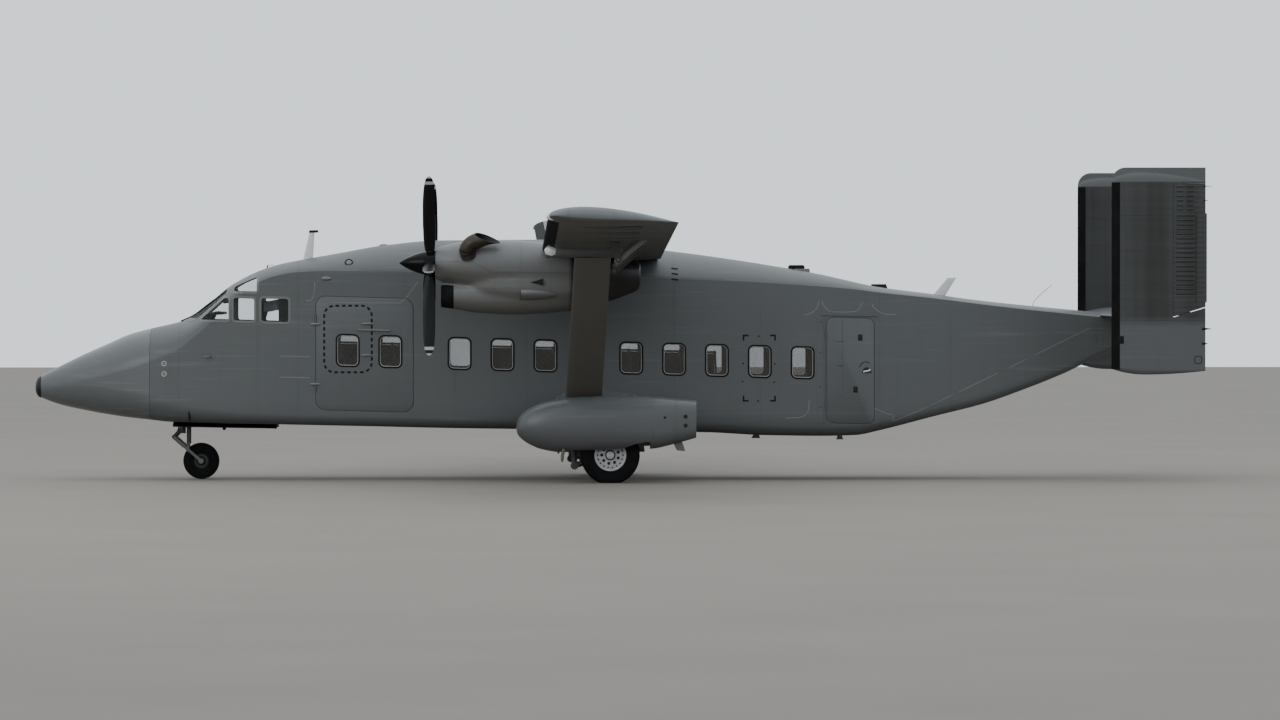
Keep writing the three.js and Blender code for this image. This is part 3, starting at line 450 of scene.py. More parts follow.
def sideways(u, v, h):
    """Places (x, z, y): an outline seen from the side."""
    return xyz(u, h, v)


def bars(rows):
    """Round bars from rows of (points, radius, sides)."""
    return [tube(*row) for row in rows]


def block(low, high):
    """A box between two corners, for cutting."""
    (x0, y0, z0), (x1, y1, z1) = low, high
    ring = np.array([[y0, z0], [y1, z0], [y1, z1], [y0, z1]])
    rows = [np.column_stack([np.full(4, x), ring]) for x in (x0, x1)]
    return skin(np.stack(rows))


print("shape helpers ready")

# %% [markdown]
# ## The grey paint
# From afar the paint is one dull grey, but close up it is never flat: every sheet of the skin is
# a slightly different grey, hands and rain leave long pale scuffs along the airflow, dirt gathers
# in the seams, the hull grows darker low down, and rows of rivets dimple it. Each of these is a
# mask worked out from the place on the aircraft, and the masks change the colour, the gloss and
# the bump together.

# %% Where the sheets of the skin meet
SLOPE = 0.0271
FRAME_SEAMS = [-8.53, -7.07, -6.62, -5.42, -4.8, -2.42, -1.32, 0.92, 2.23, 4.05, 5.15, 6.3, 7.4]
LEVEL_SEAMS = [3.08]


def any_of(value, places, half=0.002, soft=0.004):
    """1 on any of several lines across value."""
    found = stripe(value, places[0], half, soft)
    for place in places[1:]:
        found = found.most(stripe(value, place, half, soft))
    return found


def rivet_rows(along, row, pitch=0.034, radius=0.006):
    """Round dots a pitch apart along a line where row is 0."""
    aside = abs((along % pitch) - pitch / 2)
    near = (aside * aside + row * row).maths("SQRT")
    return step_up(near, radius, radius * 0.5)


def skin_paint(name, base, scuffs=0.5, dirt=0.5, gloss=0.44, frames=(), levels=(), patches=0.05):
    """Dull grey aircraft paint: sheets, scuffs, dirt and rivets on one base colour."""
    g = Graph(name)
    x, _, z = g.place()
    level = z + x * SLOPE
    cloud = g.noise(0.55, 5, 0.6)
    grain = g.noise(46, 3)
    cells = {"Vector": g.stretched((0.62, 0.9, 0.8)), "Scale": 1.0}
    sheets = g.node("TexVoronoi", {"feature": "F1"}, cells)
    tone = g.node("SeparateXYZ", {}, {0: sheets["Color"]})["X"]
    shade = (cloud - 0.5) * 0.22 + (grain - 0.5) * 0.05 + (tone - 0.5) * patches
    dark, pale = [tuple(c * k for c in base[:3]) + (1.0,) for k in (0.78, 1.22)]
    color = g.mix((shade + 0.5).clamped(), dark, pale)
    streak = g.streaks((0.42, 2.0, 11.0), 6, 0.62)
    where = g.noise(0.4, 2, 0.5, g.stretched((1.0, 1.0, 1.6), (4.2, 0, 1.0)))
    scuff = step_up(streak, 0.56, 0.74) * step_up(where, 0.42, 0.6) * scuffs
    hair = g.streaks((0.5, 3.0, 26.0), 3, 0.5)
    scuff = (scuff + step_up(hair, 0.6, 0.7) * step_up(where, 0.38, 0.55) * scuffs * 0.7).clamped()
    color = g.mix(scuff, color, tuple(min(c * 1.9, 0.6) for c in base[:3]) + (1.0,))
    rain = g.streaks((7.0, 7.0, 0.8), 5, 0.6)
    grime = step_up(rain, 0.55, 0.8) * dirt * 0.22
    seam = None
    height = g.noise(2.2, 3, 0.5) * 0.6
    if frames:
        seam = any_of(x, frames, 0.0022, 0.004)
        for place in frames:
            for aside in (-0.016, 0.016):
                height = height + rivet_rows(z, x - (place + aside)) * 0.35
    if levels:
        cross = any_of(level, levels)
        seam = cross if seam is None else seam.most(cross)
        for place in levels:
            height = height + rivet_rows(x, level - (place - 0.015)) * 0.35
    if seam is not None:
        broken = step_up(g.noise(3.0, 3), 0.3, 0.62)
        height = height - seam * 0.5
        grime = grime + seam * (broken * 0.22 + 0.04)
        halo = any_of(x, frames or (99.0,), 0.004, 0.07) * step_up(rain, 0.42, 0.7) * dirt
        grime = grime + halo * 0.14
    color = g.mix(grime.clamped(), color, grey(0.028, (1.0, 0.94, 0.84)))
    rough = (cloud - 0.5) * 0.16 + (grain - 0.5) * 0.08 + grime * 0.25 + scuff * 0.2 + gloss
    return g, color, rough, height


BODY_GREY = (0.08, 0.085, 0.086)
g, color, rough, height = skin_paint("body_paint", BODY_GREY, scuffs=0.42, dirt=0.5,
    frames=FRAME_SEAMS, levels=LEVEL_SEAMS)
_, _, z = g.place()
# Darker towards the bottom of the hull, from about a metre above the floor down.
low_darkening = step_up(z, 1.02, 0.78) * 0.45
color = g.mix(low_darkening, color, grey(0.03, (1.0, 0.95, 0.86)))
body_paint = g.painted(color, rough, 0.35, height, 0.5)
g, color, rough, height = skin_paint(
    "nose_paint", (0.09, 0.095, 0.096), scuffs=0.5, dirt=0.3, gloss=0.33)
nose_paint = g.painted(color, rough, 0.45, height, 0.25)

# %% [markdown]
# The wings and engine cowls are oilier. Below they are stained olive brown by exhaust and old
# grease and painted darker as shade, and on top they keep a clean, paler grey. The direction
# that the surface faces tells the two sides apart.


# %% Paint of the wing, the cowls and the tail
def stained_and_shaded_below(name, base, stain, share, frames=(), levels=(), spans=(), scuffs=0.25,
        gloss=0.46, cowl_seam_and_rear_shade=False, shine=0.35):
    """Paint that turns to an oil stain with painted shade where the surface looks down."""
    g, color, rough, height = skin_paint(name, base, scuffs, 0.5, gloss, frames, levels)
    x, y, z = g.place()
    faces = g.node("SeparateXYZ", {}, {0: g.node("TexCoord")["Normal"]})
    # Facing down, the colour turns darker: part oil stain, part painted shade.
    below = step_up(faces["Z"], 0.35, -0.35)
    smear = g.streaks((0.7, 3.2, 3.2), 6, 0.62)
    oil_and_shade = (below * (smear * 0.5 + 0.62)).clamped() * share
    color = g.mix(oil_and_shade, color, stain)
    if cowl_seam_and_rear_shade:
        split = z - (step_up(x, -1.85, -2.14) * 0.166 + 3.163)
        seam = stripe(split, 0.0, 0.002, 0.004)
        height = height - seam
        color = g.mix(seam * 0.5, color, grey(0.02))
        # Behind the strut the cowl is painted near black: soot, and painted shade for the deep
        # shadow there.
        color = g.mix(step_up(x, -0.72, -0.66) * 0.94, color, grey(0.007, (1.0, 0.95, 0.9)))
    if spans:
        seam = any_of(abs(y), spans)
        height = height - seam
        color = g.mix(seam * 0.6, color, grey(0.02))
    return g.painted(color, rough, shine, height, 0.45)


WING_SPANS = [1.13, 1.95, 2.3, 3.95, 4.72, 5.9, 6.9, 7.66, 8.8, 9.9, 10.7, 11.2]
wing_paint = stained_and_shaded_below("wing_paint", (0.125, 0.136, 0.14), grey(0.044, (1.0, 0.93, 0.76)),
    0.88, frames=[-0.83, -0.2, 0.12], spans=WING_SPANS)
tail_paint = stained_and_shaded_below("tail_paint", (0.07, 0.075, 0.076), grey(0.044, (1.0, 0.93, 0.76)),
    0.88, spans=[0.9, 1.9], shine=0.1)
cowl_paint = stained_and_shaded_below("cowl_paint", (0.135, 0.138, 0.136), grey(0.072, (1.0, 0.94, 0.8)), 0.7,
    gloss=0.36, frames=[-1.8, -1.42, -0.98], cowl_seam_and_rear_shade=True)
strut_paint = stained_and_shaded_below(
    "strut_paint", (0.118, 0.115, 0.1), grey(0.07, (1.0, 0.95, 0.84)), 0.6, scuffs=0.12)
pod_paint = stained_and_shaded_below("pod_paint", (0.098, 0.105, 0.108), grey(0.06, (1.0, 0.95, 0.84)), 0.45,
    gloss=0.3, frames=[0.566, 0.92])


def fin_finish(name, ribs):
    """Rubbed, oil-stained fins above, with upright bands of painted sheen; clean grey at the foot.
    """
    g, color, rough, height = skin_paint(name, (0.08, 0.084, 0.085), 0.3, 0.35, 0.42)
    x, _, z = g.place()
    # Upright bands of painted sheen run through the darker, rubbed upper fin.
    bands = g.streaks((3.4, 1.0, 0.12), 3, 0.5)
    level = g.streaks((0.3, 1.0, 9.0), 4, 0.6)
    rubbed = ((bands - 0.5) * 1.1 + (level - 0.5) * 0.3 + 0.78).clamped()
    rubbed = step_up(z, 2.34, 2.52) * (1.0 - step_up(z, 4.525, 4.535)) * rubbed
    color = g.mix(rubbed, color, grey(0.019, (1.0, 0.98, 0.86)))
    if ribs:
        height = height + stripe((z % 0.075), 0.037, 0.006, 0.012) * 1.4
    else:
        seam = any_of(z, [2.45, 2.98, 3.5, 4.02])
        height = height - seam + rivet_rows(x, z - 2.47, 0.035) * 0.35
        color = g.mix(seam * 0.5, color, grey(0.02))
    return g.painted(color, rough, 0.3, height, 0.5)


fin_paint = fin_finish("fin_paint", False)
rudder_paint = fin_finish("rudder_paint", True)
print("paints ready")

# %% [markdown]
# ## Rubber, glass, metal and cloth
# Each of the other finishes starts from the same few ideas: a colour that varies with two sizes of
# noise, a gloss that varies with it, and a small bump. What changes is the amount of each.


# %% Plain finishes with wear
def worn(name, low, high, rough, size, bump=0.2, metal=0.0, dust=0.0, coat=0.0, shine=0.5,
        tint=(1.0, 1.0, 1.0), pale_tint=None):
    """A finish between two levels of a tint, blotchy at one size and grainy at a smaller one."""
    g = Graph(name)
    blotch = g.noise(size, 5, 0.6)
    grain = g.noise(size * 14, 3)
    share = ((blotch - 0.5) * 1.6 + (grain - 0.5) * 0.5 + 0.5).clamped()
    color = g.mix(share, grey(low, tint), grey(high, pale_tint or tint))
    if dust:
        up = g.node("SeparateXYZ", {}, {0: g.node("TexCoord")["Normal"]})["Z"]
        settled = (step_up(up, -0.2, 0.9) * 0.7 + 0.3) * step_up(blotch, 0.35, 0.7) * dust
        color = g.mix(settled, color, grey(0.21, (1.0, 0.95, 0.86)))
    gloss = (blotch - 0.5) * 0.12 + (grain - 0.5) * 0.12 * 0.6 + rough
    normal = g.bump(grain * 0.5 + blotch, bump)
    return g.finish(Base_Color=color, Roughness=gloss, Metallic=metal, Normal=normal,
        Coat_Weight=coat, Specular_IOR_Level=shine)


boot_rubber = worn("boot_rubber", 0.004, 0.009, 0.7, 5.0, dust=0.03, shine=0.06)
nose_rubber = worn("nose_rubber", 0.004, 0.01, 0.48, 14.0, dust=0.05, shine=0.3)
spinner_black = worn("spinner_black", 0.002, 0.004, 0.15, 9.0, bump=0.02, shine=0.13)
trim_black = worn("trim_black", 0.006, 0.014, 0.55, 12.0, shine=0.25)
frame_rubber = worn("frame_rubber", 0.003, 0.006, 0.6, 20.0, shine=0.12)
pale_bead = worn("pale_bead", 0.22, 0.36, 0.5, 16.0, tint=(1, 1, 0.95))
cockpit_frame = worn("cockpit_frame", 0.11, 0.16, 0.5, 9.0, shine=0.3, tint=(1, 1, 0.96))
aerial_white = worn("aerial_white", 0.52, 0.66, 0.4, 10.0)
lining_paint = worn("lining_paint", 0.12, 0.19, 0.7, 4.0, tint=(1, 1.02, 0.9))
floor_metal = worn("floor_metal", 0.16, 0.3, 0.5, 6.0, metal=0.6, dust=0.3)
leg_metal = worn("leg_metal", 0.085, 0.17, 0.42, 12.0, metal=0.2, tint=(1, 1, 0.93))
# A darker copy of the leg metal: painted shade for gear and flap parts that sit in shadow.
leg_dark = worn("leg_dark", 0.018, 0.05, 0.45, 12.0, tint=(1, 0.95, 0.85))
# A paler copy of the body grey: painted highlight on raised fittings, bumps, seams and arms that
# catch the light.
fitting_highlight_grey = worn("fitting_highlight_grey", 0.11, 0.16, 0.4, 14.0)
wheel_enamel = worn("wheel_enamel", 0.3, 0.42, 0.42, 14.0)
hub_dark = worn("hub_dark", 0.008, 0.022, 0.6, 20.0, shine=0.25)
tread_rubber = worn("tread_rubber", 0.005, 0.01, 0.8, 9.0, bump=0.35, shine=0.06)
bay_black = worn("bay_black", 0.005, 0.012, 0.6, 6.0, shine=0.2)
engine_metal = worn("engine_metal", 0.1, 0.26, 0.4, 9.0, metal=0.8, tint=(1, 0.9, 0.8),
    pale_tint=(1, 0.95, 0.9))
marking_black = worn("marking_black", 0.004, 0.009, 0.6, 30.0, shine=0.15)
blind_cloth = worn("blind_cloth", 0.34, 0.44, 0.75, 9.0, tint=(1, 0.98, 0.9))
lamp_shell = worn("lamp_shell", 0.5, 0.62, 0.2, 12.0, coat=0.5)
brown_seal = worn("brown_seal", 0.022, 0.045, 0.6, 9.0, tint=(1, 0.9, 0.75))
exhaust_inside = worn("exhaust_inside", 0.004, 0.01, 0.8, 9.0)


# %% Glass, cloth, burnt steel and blades
def glass(name, tint, alpha, painted_veil_glow):
    """Clear glazing with a little dust, see-through by its alpha. A faint glow paints in the pale
    veil of light that dust and reflection lay over the pane, which stays smooth in front of the
    dark cabin."""
    g = Graph(name)
    haze = g.noise(3.0, 5, 0.6)
    smear = g.streaks((5.0, 5.0, 1.2), 4, 0.6)
    color = g.mix(haze, tint, tuple(c * 1.35 for c in tint[:3]) + (1.0,))
    cover = (haze - 0.5) * 0.06 + (smear - 0.5) * 0.04 + alpha
    return g.finish(Base_Color=color, Roughness=haze * 0.06 + 0.4, Alpha=cover,
        Specular_IOR_Level=0.1, Emission_Color=color, Emission_Strength=painted_veil_glow)


# Both glasses glow faintly: painted light for the veil on the panes.
cockpit_glass = glass("cockpit_glass", grey(0.01, (0.92, 1.0, 1.0)), 0.12, 6.0)
cabin_glass = glass("cabin_glass", grey(0.01, (1.0, 0.97, 0.92)), 0.36, 4.0)


def woven(name, low, high, tint, pitch):
    """Cloth: two crossed sets of threads, one over the other by turns."""
    g = Graph(name)
    x, y, z = g.place()
    warp = ((x + y) * (6.28 / pitch)).maths("SINE")
    weft = ((z + y) * (6.28 / pitch)).maths("SINE")
    thread = (warp * weft) * 0.5 + 0.5
    wear = g.noise(7.0, 4)
    share = (thread * 0.1 + wear * 0.5).clamped()
    color = g.mix(share, grey(low, tint), grey(high, tint))
    return g.finish(Base_Color=color, Roughness=wear * 0.1 + 0.82,
        Normal=g.bump(thread, 0.03, 0.0005))


seat_cloth = woven("seat_cloth", 0.018, 0.05, (1, 1.05, 0.9), 0.006)
visor_cloth = woven("visor_cloth", 0.1, 0.18, (0.9, 0.95, 1.15), 0.008)

g = Graph("burnt_steel")
heat = g.noise(3.2, 5, 0.62)
ripple = g.noise(22.0, 3)
_, _, z = g.place()
color = g.mix(step_up(heat, 0.32, 0.7), grey(0.016, (1.0, 0.86, 0.72)),
    grey(0.075, (1.0, 0.78, 0.58)))
color = g.mix(step_up(z, 3.62, 3.8) * 0.6, color, grey(0.022, (1.0, 0.92, 0.86)))
burnt_steel = g.finish(Base_Color=color, Roughness=heat * 0.25 + 0.34, Metallic=0.55,
    Normal=g.bump(ripple, 0.2))


# %% The blade's bands follow the distance from the hub
HUB = {"x": -2.76, "y": 2.9, "z": 3.312, "first": 24}


def blade_finish(name, side):
    """Satin black with two pale bands at the tip and bare metal where the edge is rubbed."""
    g = Graph(name)
    x, y, z = g.place()
    aside, up = y - side * HUB["y"], z - HUB["z"]
    reach = (aside * aside + up * up).maths("SQRT")
    worn_edge = step_up(x, -2.848, -2.856) * step_up(g.noise(2.0, 3), 0.35, 0.65) * 0.12
    blotch = g.noise(11.0, 5)
    color = g.mix(blotch, grey(0.004), grey(0.01))
    color = g.mix(worn_edge, color, grey(0.1))
    bands = stripe(reach, 1.302, 0.022, 0.004).most(step_up(reach, 1.374, 1.38))
    color = g.mix(bands, color, grey(0.38))
    rough = (blotch - 0.5) * 0.08 + 0.36
    return g.finish(Base_Color=color, Roughness=rough, Specular_IOR_Level=0.16)


blade_looks = {side: blade_finish(f"blade_black_{word}", side) for side, word in SIDES}
print("finishes ready")

# %% [markdown]
# ## The fuselage
# The hull is a box with a flat floor, small bottom corners, flat sides and a low arched roof. One
# table gives its sections from nose to tail, and a smooth curve through each column of the table
# gives as many sections between them as the render needs.

# %% Sections of the hull: x, belly, top of the flat side, crown, half width, bottom corner
HULL = np.array([
    [-8.765, 1.249, 1.422, 1.581, 0.168, 0.156],
    [-8.600, 1.183, 1.432, 1.673, 0.262, 0.235],
    [-8.420, 1.130, 1.465, 1.765, 0.352, 0.300],
    [-8.080, 1.058, 1.525, 1.930, 0.505, 0.380],
    [-7.750, 1.000, 1.600, 2.075, 0.635, 0.410],
    [-7.420, 0.955, 1.690, 2.220, 0.755, 0.400],
    [-7.070, 0.920, 1.800, 2.315, 0.855, 0.360],
    [-6.760, 0.890, 1.930, 2.385, 0.925, 0.300],
    [-6.620, 0.886, 2.000, 2.420, 0.952, 0.270],
    [-6.400, 0.882, 2.180, 2.520, 0.985, 0.240],
    [-6.100, 0.876, 2.450, 2.770, 1.025, 0.210],
    [-5.830, 0.871, 2.750, 2.985, 1.055, 0.190],
    [-5.450, 0.865, 3.000, 3.185, 1.090, 0.170],
    [-5.100, 0.858, 3.130, 3.300, 1.106, 0.160],
    [-4.750, 0.850, 3.180, 3.370, 1.110, 0.150],
    [-4.190, 0.838, 3.195, 3.470, 1.110, 0.150],
    [-3.570, 0.825, 3.190, 3.580, 1.110, 0.150],
    [-2.650, 0.803, 3.175, 3.665, 1.110, 0.150],
    [-1.110, 0.780, 3.150, 3.675, 1.110, 0.150],
    [0.000, 0.758, 3.125, 3.600, 1.110, 0.150],
    [0.850, 0.742, 3.090, 3.505, 1.110, 0.150],
    [1.440, 0.733, 3.060, 3.430, 1.110, 0.150],
    [2.280, 0.690, 3.015, 3.305, 1.110, 0.150],
    [3.190, 0.678, 2.955, 3.145, 1.110, 0.150],
    [3.700, 0.690, 2.910, 3.030, 1.110, 0.150],
    [4.050, 0.760, 2.865, 2.955, 1.108, 0.150],
    [4.890, 0.975, 2.775, 2.845, 1.085, 0.145],
    [5.650, 1.165, 2.680, 2.742, 1.010, 0.135],
    [6.300, 1.390, 2.605, 2.672, 0.900, 0.120],
    [6.890, 1.620, 2.545, 2.615, 0.770, 0.105],
    [7.580, 1.945, 2.475, 2.545, 0.590, 0.080],
    [8.120, 2.150, 2.425, 2.485, 0.430, 0.060],
])
SIDE_Y = 1.11  # the flat side of the cabin


def roof_share(x, up):
    """Half width over that of the sides, at a share of the roof's rise: the end of an ellipse.
    Behind the nose the roof leaves the side at a slight angle, so that their seam shows."""
    first = 0.19 * np.clip((x + 6.4) / 1.0, 0, 1)
    sine = first + up * (1 - first)
    return np.sqrt(np.maximum(1 - sine**2, 0) / (1 - first**2))


def between(table, x):
    """Each column of a table at new x: a cubic whose slopes never overshoot the rows."""
    x = np.asarray(x, float)
    known, rows = table[:, 0], table[:, 1:]
    gap = np.diff(known)[:, None]
    rise = np.diff(rows, axis=0) / gap
    product = rise[:-1] * rise[1:]
    total = rise[:-1] + rise[1:]
    middle = np.where(product > 0, 2 * product / np.where(total == 0, 1, total), 0)
    slope = np.concatenate([rise[:1], middle, rise[-1:]])
    k = np.clip(np.searchsorted(known, x, side="right") - 1, 0, len(known) - 2)
    h = gap[k]
    t = (x - known[k])[..., None] / h
    a, b = rows[k], rows[k + 1]
    return ((2 * t**3 - 3 * t**2 + 1) * a + (t**3 - 2 * t**2 + t) * h * slope[k]
        + (3 * t**2 - 2 * t**3) * b + (t**3 - t**2) * h * slope[k + 1])


def columns(table, x):
    """The table's values at x, each as one column."""
    return (values[:, None] for values in np.moveaxis(between(table, x), -1, 0))


def hull_values(x, inset=0.0):
    """Belly, shoulder, crown, half width and corner radius at x, moved in by an inset."""
    belly, side, crown, half, corner = np.moveaxis(between(HULL, x), -1, 0)
    top = crown - inset
    shoulder = np.minimum(side, top - 0.35 * (crown - side))
    round_corner = np.maximum(corner - 0.6 * inset, 0.3 * corner)
    return belly + 0.6 * inset, shoulder, top, half - inset, round_corner


def hull_rings(x, inset=0.0, corner_steps=7, side_steps=10, roof_steps=16):
    """Rings at each x: floor, quarter circles at the corners, upright sides, quarter ellipses."""
    belly, shoulder, top, half, corner = (v[:, None] for v in hull_values(x, inset))
    flat = np.linspace(0, 1, 3, endpoint=False)
    bend = np.linspace(0, np.pi / 2, corner_steps, endpoint=False)
    rise = np.append(np.linspace(0, 0.93, side_steps), 0.992)
    lift = np.sin(quarter_turn(roof_steps))
    y = [flat * (half - corner), half - corner + corner * np.sin(bend), half * np.ones_like(rise)]
    z = [belly * np.ones_like(flat), belly + corner - corner * np.cos(bend)]
    foot = belly + corner
    z.append(foot + (shoulder - foot) * rise)
    y.append(half * roof_share(np.asarray(x)[:, None], lift))
    z.append(shoulder + (top - shoulder) * lift)
    y, z = np.concatenate(y, axis=1), np.concatenate(z, axis=1)
    y = np.concatenate([y, -y[:, -2:0:-1]], axis=1)
    z = np.concatenate([z, z[:, -2:0:-1]], axis=1)
    return xyz(np.asarray(x)[:, None], y, z)


def hull_half(x, z):
    """Half the hull's width at a place along it and a height: the side, corner or roof curve."""
    belly, shoulder, top, half, corner = hull_values(x)
    up = np.clip((z - shoulder) / (top - shoulder), 0, 1)
    down = np.clip((belly + corner - z) / corner, 0, 1)
    low = half - corner * (1 - np.sqrt(1 - down**2))
    return np.where(z > shoulder, half * roof_share(x, up), low)


def hull_front(y, z, near=-7.0, far=-5.2):
    """Where a line along x meets the nose, by halving the interval thirty times."""
    y, z = np.broadcast_arrays(np.abs(np.asarray(y, float)), np.asarray(z, float))
    low, high = np.full(y.shape, near), np.full(y.shape, far)
    for _ in range(30):
        middle = (low + high) / 2
        inside = hull_half(middle, z) > y + 1e-5
        low, high = np.where(inside, low, middle), np.where(inside, middle, high)
    return (low + high) / 2


def stations(start, end, step):
    """Even places from start to end, at most a step apart."""
    return np.linspace(start, end, int(np.ceil((end - start) / step)) + 1)


print("hull:", hull_rings(stations(-8.7, 8.1, 0.1)).shape, "points")

# %% [markdown]
# ### Nose
# The tip is a black rubber-coated dome, and the cone behind it is one smooth moulding with a seam
# where it is bolted on. The dome squeezes the first section to nothing along a quarter circle.

# %% Nose cap and cone
base = hull_rings(np.array([-8.7652]))[0]
turn = quarter_turn(14)
centre = np.array([0, 0, 1.408])
dome = np.stack(
    [np.column_stack([np.full(len(base), -8.7652 - 0.094 * np.sin(a)), (base[:, 1:] - centre[1:])
    * max(np.cos(a), 1e-4) ** 0.9 + centre[1:]]) for a in turn])
piece("nose_tip", [skin(dome)], nose_rubber, stands_for=["nose_cap"])
cone_rows = hull_rings(stations(-8.7648, -7.0718, 0.06))
piece("nose_moulding", [skin(cone_rows)], nose_paint, stands_for=["nose_cone"])


# %% [markdown]
# ### Cockpit
# The pilots sit behind a raked windscreen in two halves, with two panes along each side and a
# small one overhead. The openings are cut through the wall, the glass is one thin band set into
# them, and each opening has a pale metal retainer screwed round it.

# %% Outlines of the panes
def softened(outline, radius, steps=4):
    """An outline with each corner replaced by a curve that starts a radius away from it."""
    p = np.asarray(outline, float)
    before = p + unit(np.roll(p, 1, axis=0) - p) * radius
    after = p + unit(np.roll(p, -1, axis=0) - p) * radius
    t = np.linspace(0, 1, steps)[None, :, None]
    bend = before[:, None] * (1 - t) ** 2 + p[:, None] * 2 * t * (1 - t) + after[:, None] * t**2
    return bend.reshape(-1, 2)


def walked(outline):
    """The length round a closed outline, and a function that turns distances into points."""
    closed = np.vstack([outline, outline[:1]])
    run = np.concatenate([[0], np.cumsum(np.linalg.norm(np.diff(closed, axis=0), axis=1))])
    return run[-1], lambda at: np.stack([np.interp(at, run, line) for line in closed.T], axis=-1)


def dense(outline, step=0.04):
    """More points along an outline, so that it can follow a curved skin."""
    length, point_at = walked(outline)
    return point_at(np.linspace(0, length, int(length / step) + 8, endpoint=False))


SIDE_PANES = {"quarter": [[-6.3, 2.45], [-5.855, 2.44], [-5.855, 2.785], [-5.925, 2.79]],
    "sliding": [[-5.785, 2.438], [-5.465, 2.43], [-5.465, 2.775], [-5.785, 2.787]],
    "rear": [[-5.36, 2.425], [-4.945, 2.412], [-4.945, 2.77], [-5.36, 2.78]],
    "eyebrow": [[-5.785, 2.88], [-5.425, 2.872], [-5.425, 3.11], [-5.64, 3.02], [-5.785, 2.95]]}
WINDSCREEN = [[0.045, 2.47], [0.64, 2.455], [0.76, 2.56], [0.7, 2.9], [0.56, 2.965], [0.045, 2.99]]
side_outlines = {name: softened(outline, 0.03) for name, outline in SIDE_PANES.items()}
screen_outline = softened(WINDSCREEN, 0.035)


def on_side(side):
    """Places (x, z, height) on the curved skin of one side, height outwards."""
    return lambda u, v, h: xyz(u, side * (hull_half(u, v) + h), v)


def on_nose(side):
    """Places (y, z, height) on the raked front, height forwards."""
    return lambda u, v, h: xyz(hull_front(u, v) - h, side * u, v)


def flat_side(side):
    """Places (x, z, y) as a straight cut from the side."""
    return lambda u, v, h: xyz(u, side * h, v)


def straight_ahead(side):
    """Places (y, z, x) as a straight cut from the front."""
    return lambda u, v, h: xyz(h, side * u, v)


# %% Cockpit shell with its openings
WALL = 0.07
COCKPIT = {"x0": -7.07, "x1": -4.8, "front": -6.97}
outer = hull_rings(stations(COCKPIT["x0"] + 0.0018, COCKPIT["x1"] - 0.0003, 0.05))
cockpit_shell = piece("cockpit_skin", [skin(outer)], body_paint, stands_for=["cockpit_shell"])
inner = hull_rings(stations(COCKPIT["front"], COCKPIT["x1"] + 0.01, 0.06), WALL)
carve(cockpit_shell, [skin(inner)])
openings = []
for side in (-1, 1):
    openings += [slab(outline, 0.44, 1.3, flat_side(side)) for outline in side_outlines.values()]
carve_each(cockpit_shell, openings)
carve(cockpit_shell, [slab(screen_outline, -6.9, -5.9, straight_ahead(side)) for side in (-1, 1)])
carve(cockpit_shell, [block((-6.76, -0.3, 0.7), (-5.11, 0.3, 1.1))])


def line_inside(made, look, outwards):
    """Gives the faces that look inwards a second finish; outwards gives each centre's way out."""
    mesh = made.data
    count = len(mesh.polygons)
    centres, normals = np.empty(count * 3), np.empty(count * 3)
    mesh.polygons.foreach_get("center", centres)
    mesh.polygons.foreach_get("normal", normals)
    facing = (outwards(centres.reshape(-1, 3)) * normals.reshape(-1, 3)).sum(axis=1)
    mesh.materials.append(look)
    mesh.polygons.foreach_set("material_index", (facing < 0.02).astype(np.int32))


def from_spine(centres):
    """Out of the hull: away from a line at half height along it."""
    away = centres - np.array([0, 0, 1.9])
    away[:, 0] = -0.15 * np.sign(centres[:, 0])
    return away


line_inside(cockpit_shell, lining_paint, from_spine)
print("cockpit skin:", len(cockpit_shell.data.polygons), "faces")


# %% Cockpit glass
def glazing_band(x, low, inset):
    """One strip over the crown at each x, from a low edge on the right to the same on the left."""
    belly, shoulder, top, half, corner = hull_values(x, inset)
    sweep = quarter_turn(22)
    foot = np.minimum(low, top - 0.02)[:, None]
    z = foot + (top[:, None] - foot) * np.sin(sweep)
    up = np.clip((z - shoulder[:, None]) / (top - shoulder)[:, None], 0, 1)
    y = half[:, None] * roof_share(x[:, None], up)
    y, z = (np.concatenate([v, s * v[:, -2::-1]], axis=1) for v, s in ((y, -1), (z, 1)))
    return xyz(x[:, None], y, z)


at = stations(-6.59, -4.88, 0.05)
outside, inside = (glazing_band(at, 2.39, inset) for inset in (0.024, 0.031))
band = np.concatenate([outside, inside[:, ::-1]], axis=1)
glazing = piece("cockpit_panes", [skin(band)], cockpit_glass,
    stands_for=["cockpit_glazing"])

# %% Retainers round the panes
retainer = [(-0.004, -0.016), (-0.004, 0.004), (0.004, 0.006), (0.031, 0.005), (0.034, -0.002)]
frames = []
for side in (-1, 1):
    frames += [trim(dense(outline), retainer, on_side(side)) for outline in side_outlines.values()]
    frames.append(trim(dense(screen_outline[::-1], 0.03)[::-1], retainer, on_nose(side)))
piece("pane_retainers", frames, cockpit_frame)

# %% [markdown]
# ### Cabin
# The cabin is one long box of sheet metal, a hand's breadth thick with its frames and lining. It
# is made as a closed wall between an outer and an inner loft, and the windows and doorways are
# then cut straight through it. The openings follow the floor, which drops towards the tail
# because the aircraft parks nose up.


# %% Openings in the cabin
def sloped(x, level, wide, high, radius, steps=7):
    """The outline of an upright panel whose level lines drop towards the tail, as (x, z)."""
    outline = rounded(wide, high, radius, steps)
    along = x + outline[:, 0]
    return np.column_stack([along, level + outline[:, 1] - SLOPE * along])


def panel(x0, x1, low, high, radius, steps=7):
    return sloped((x0 + x1) / 2, (low + high) / 2, x1 - x0, high - low, radius, steps)


def plate(outline, low, high, place, ease=0.004):
    """A flat plate whose outer edge is eased over by a few millimetres."""
    steps = [(0, low), (0, high - ease), (ease * 0.3, high - ease * 0.3), (ease, high)]
    return skin(np.stack([place(*moved_out(outline, -inset).T, height)
        for inset, height in steps]))


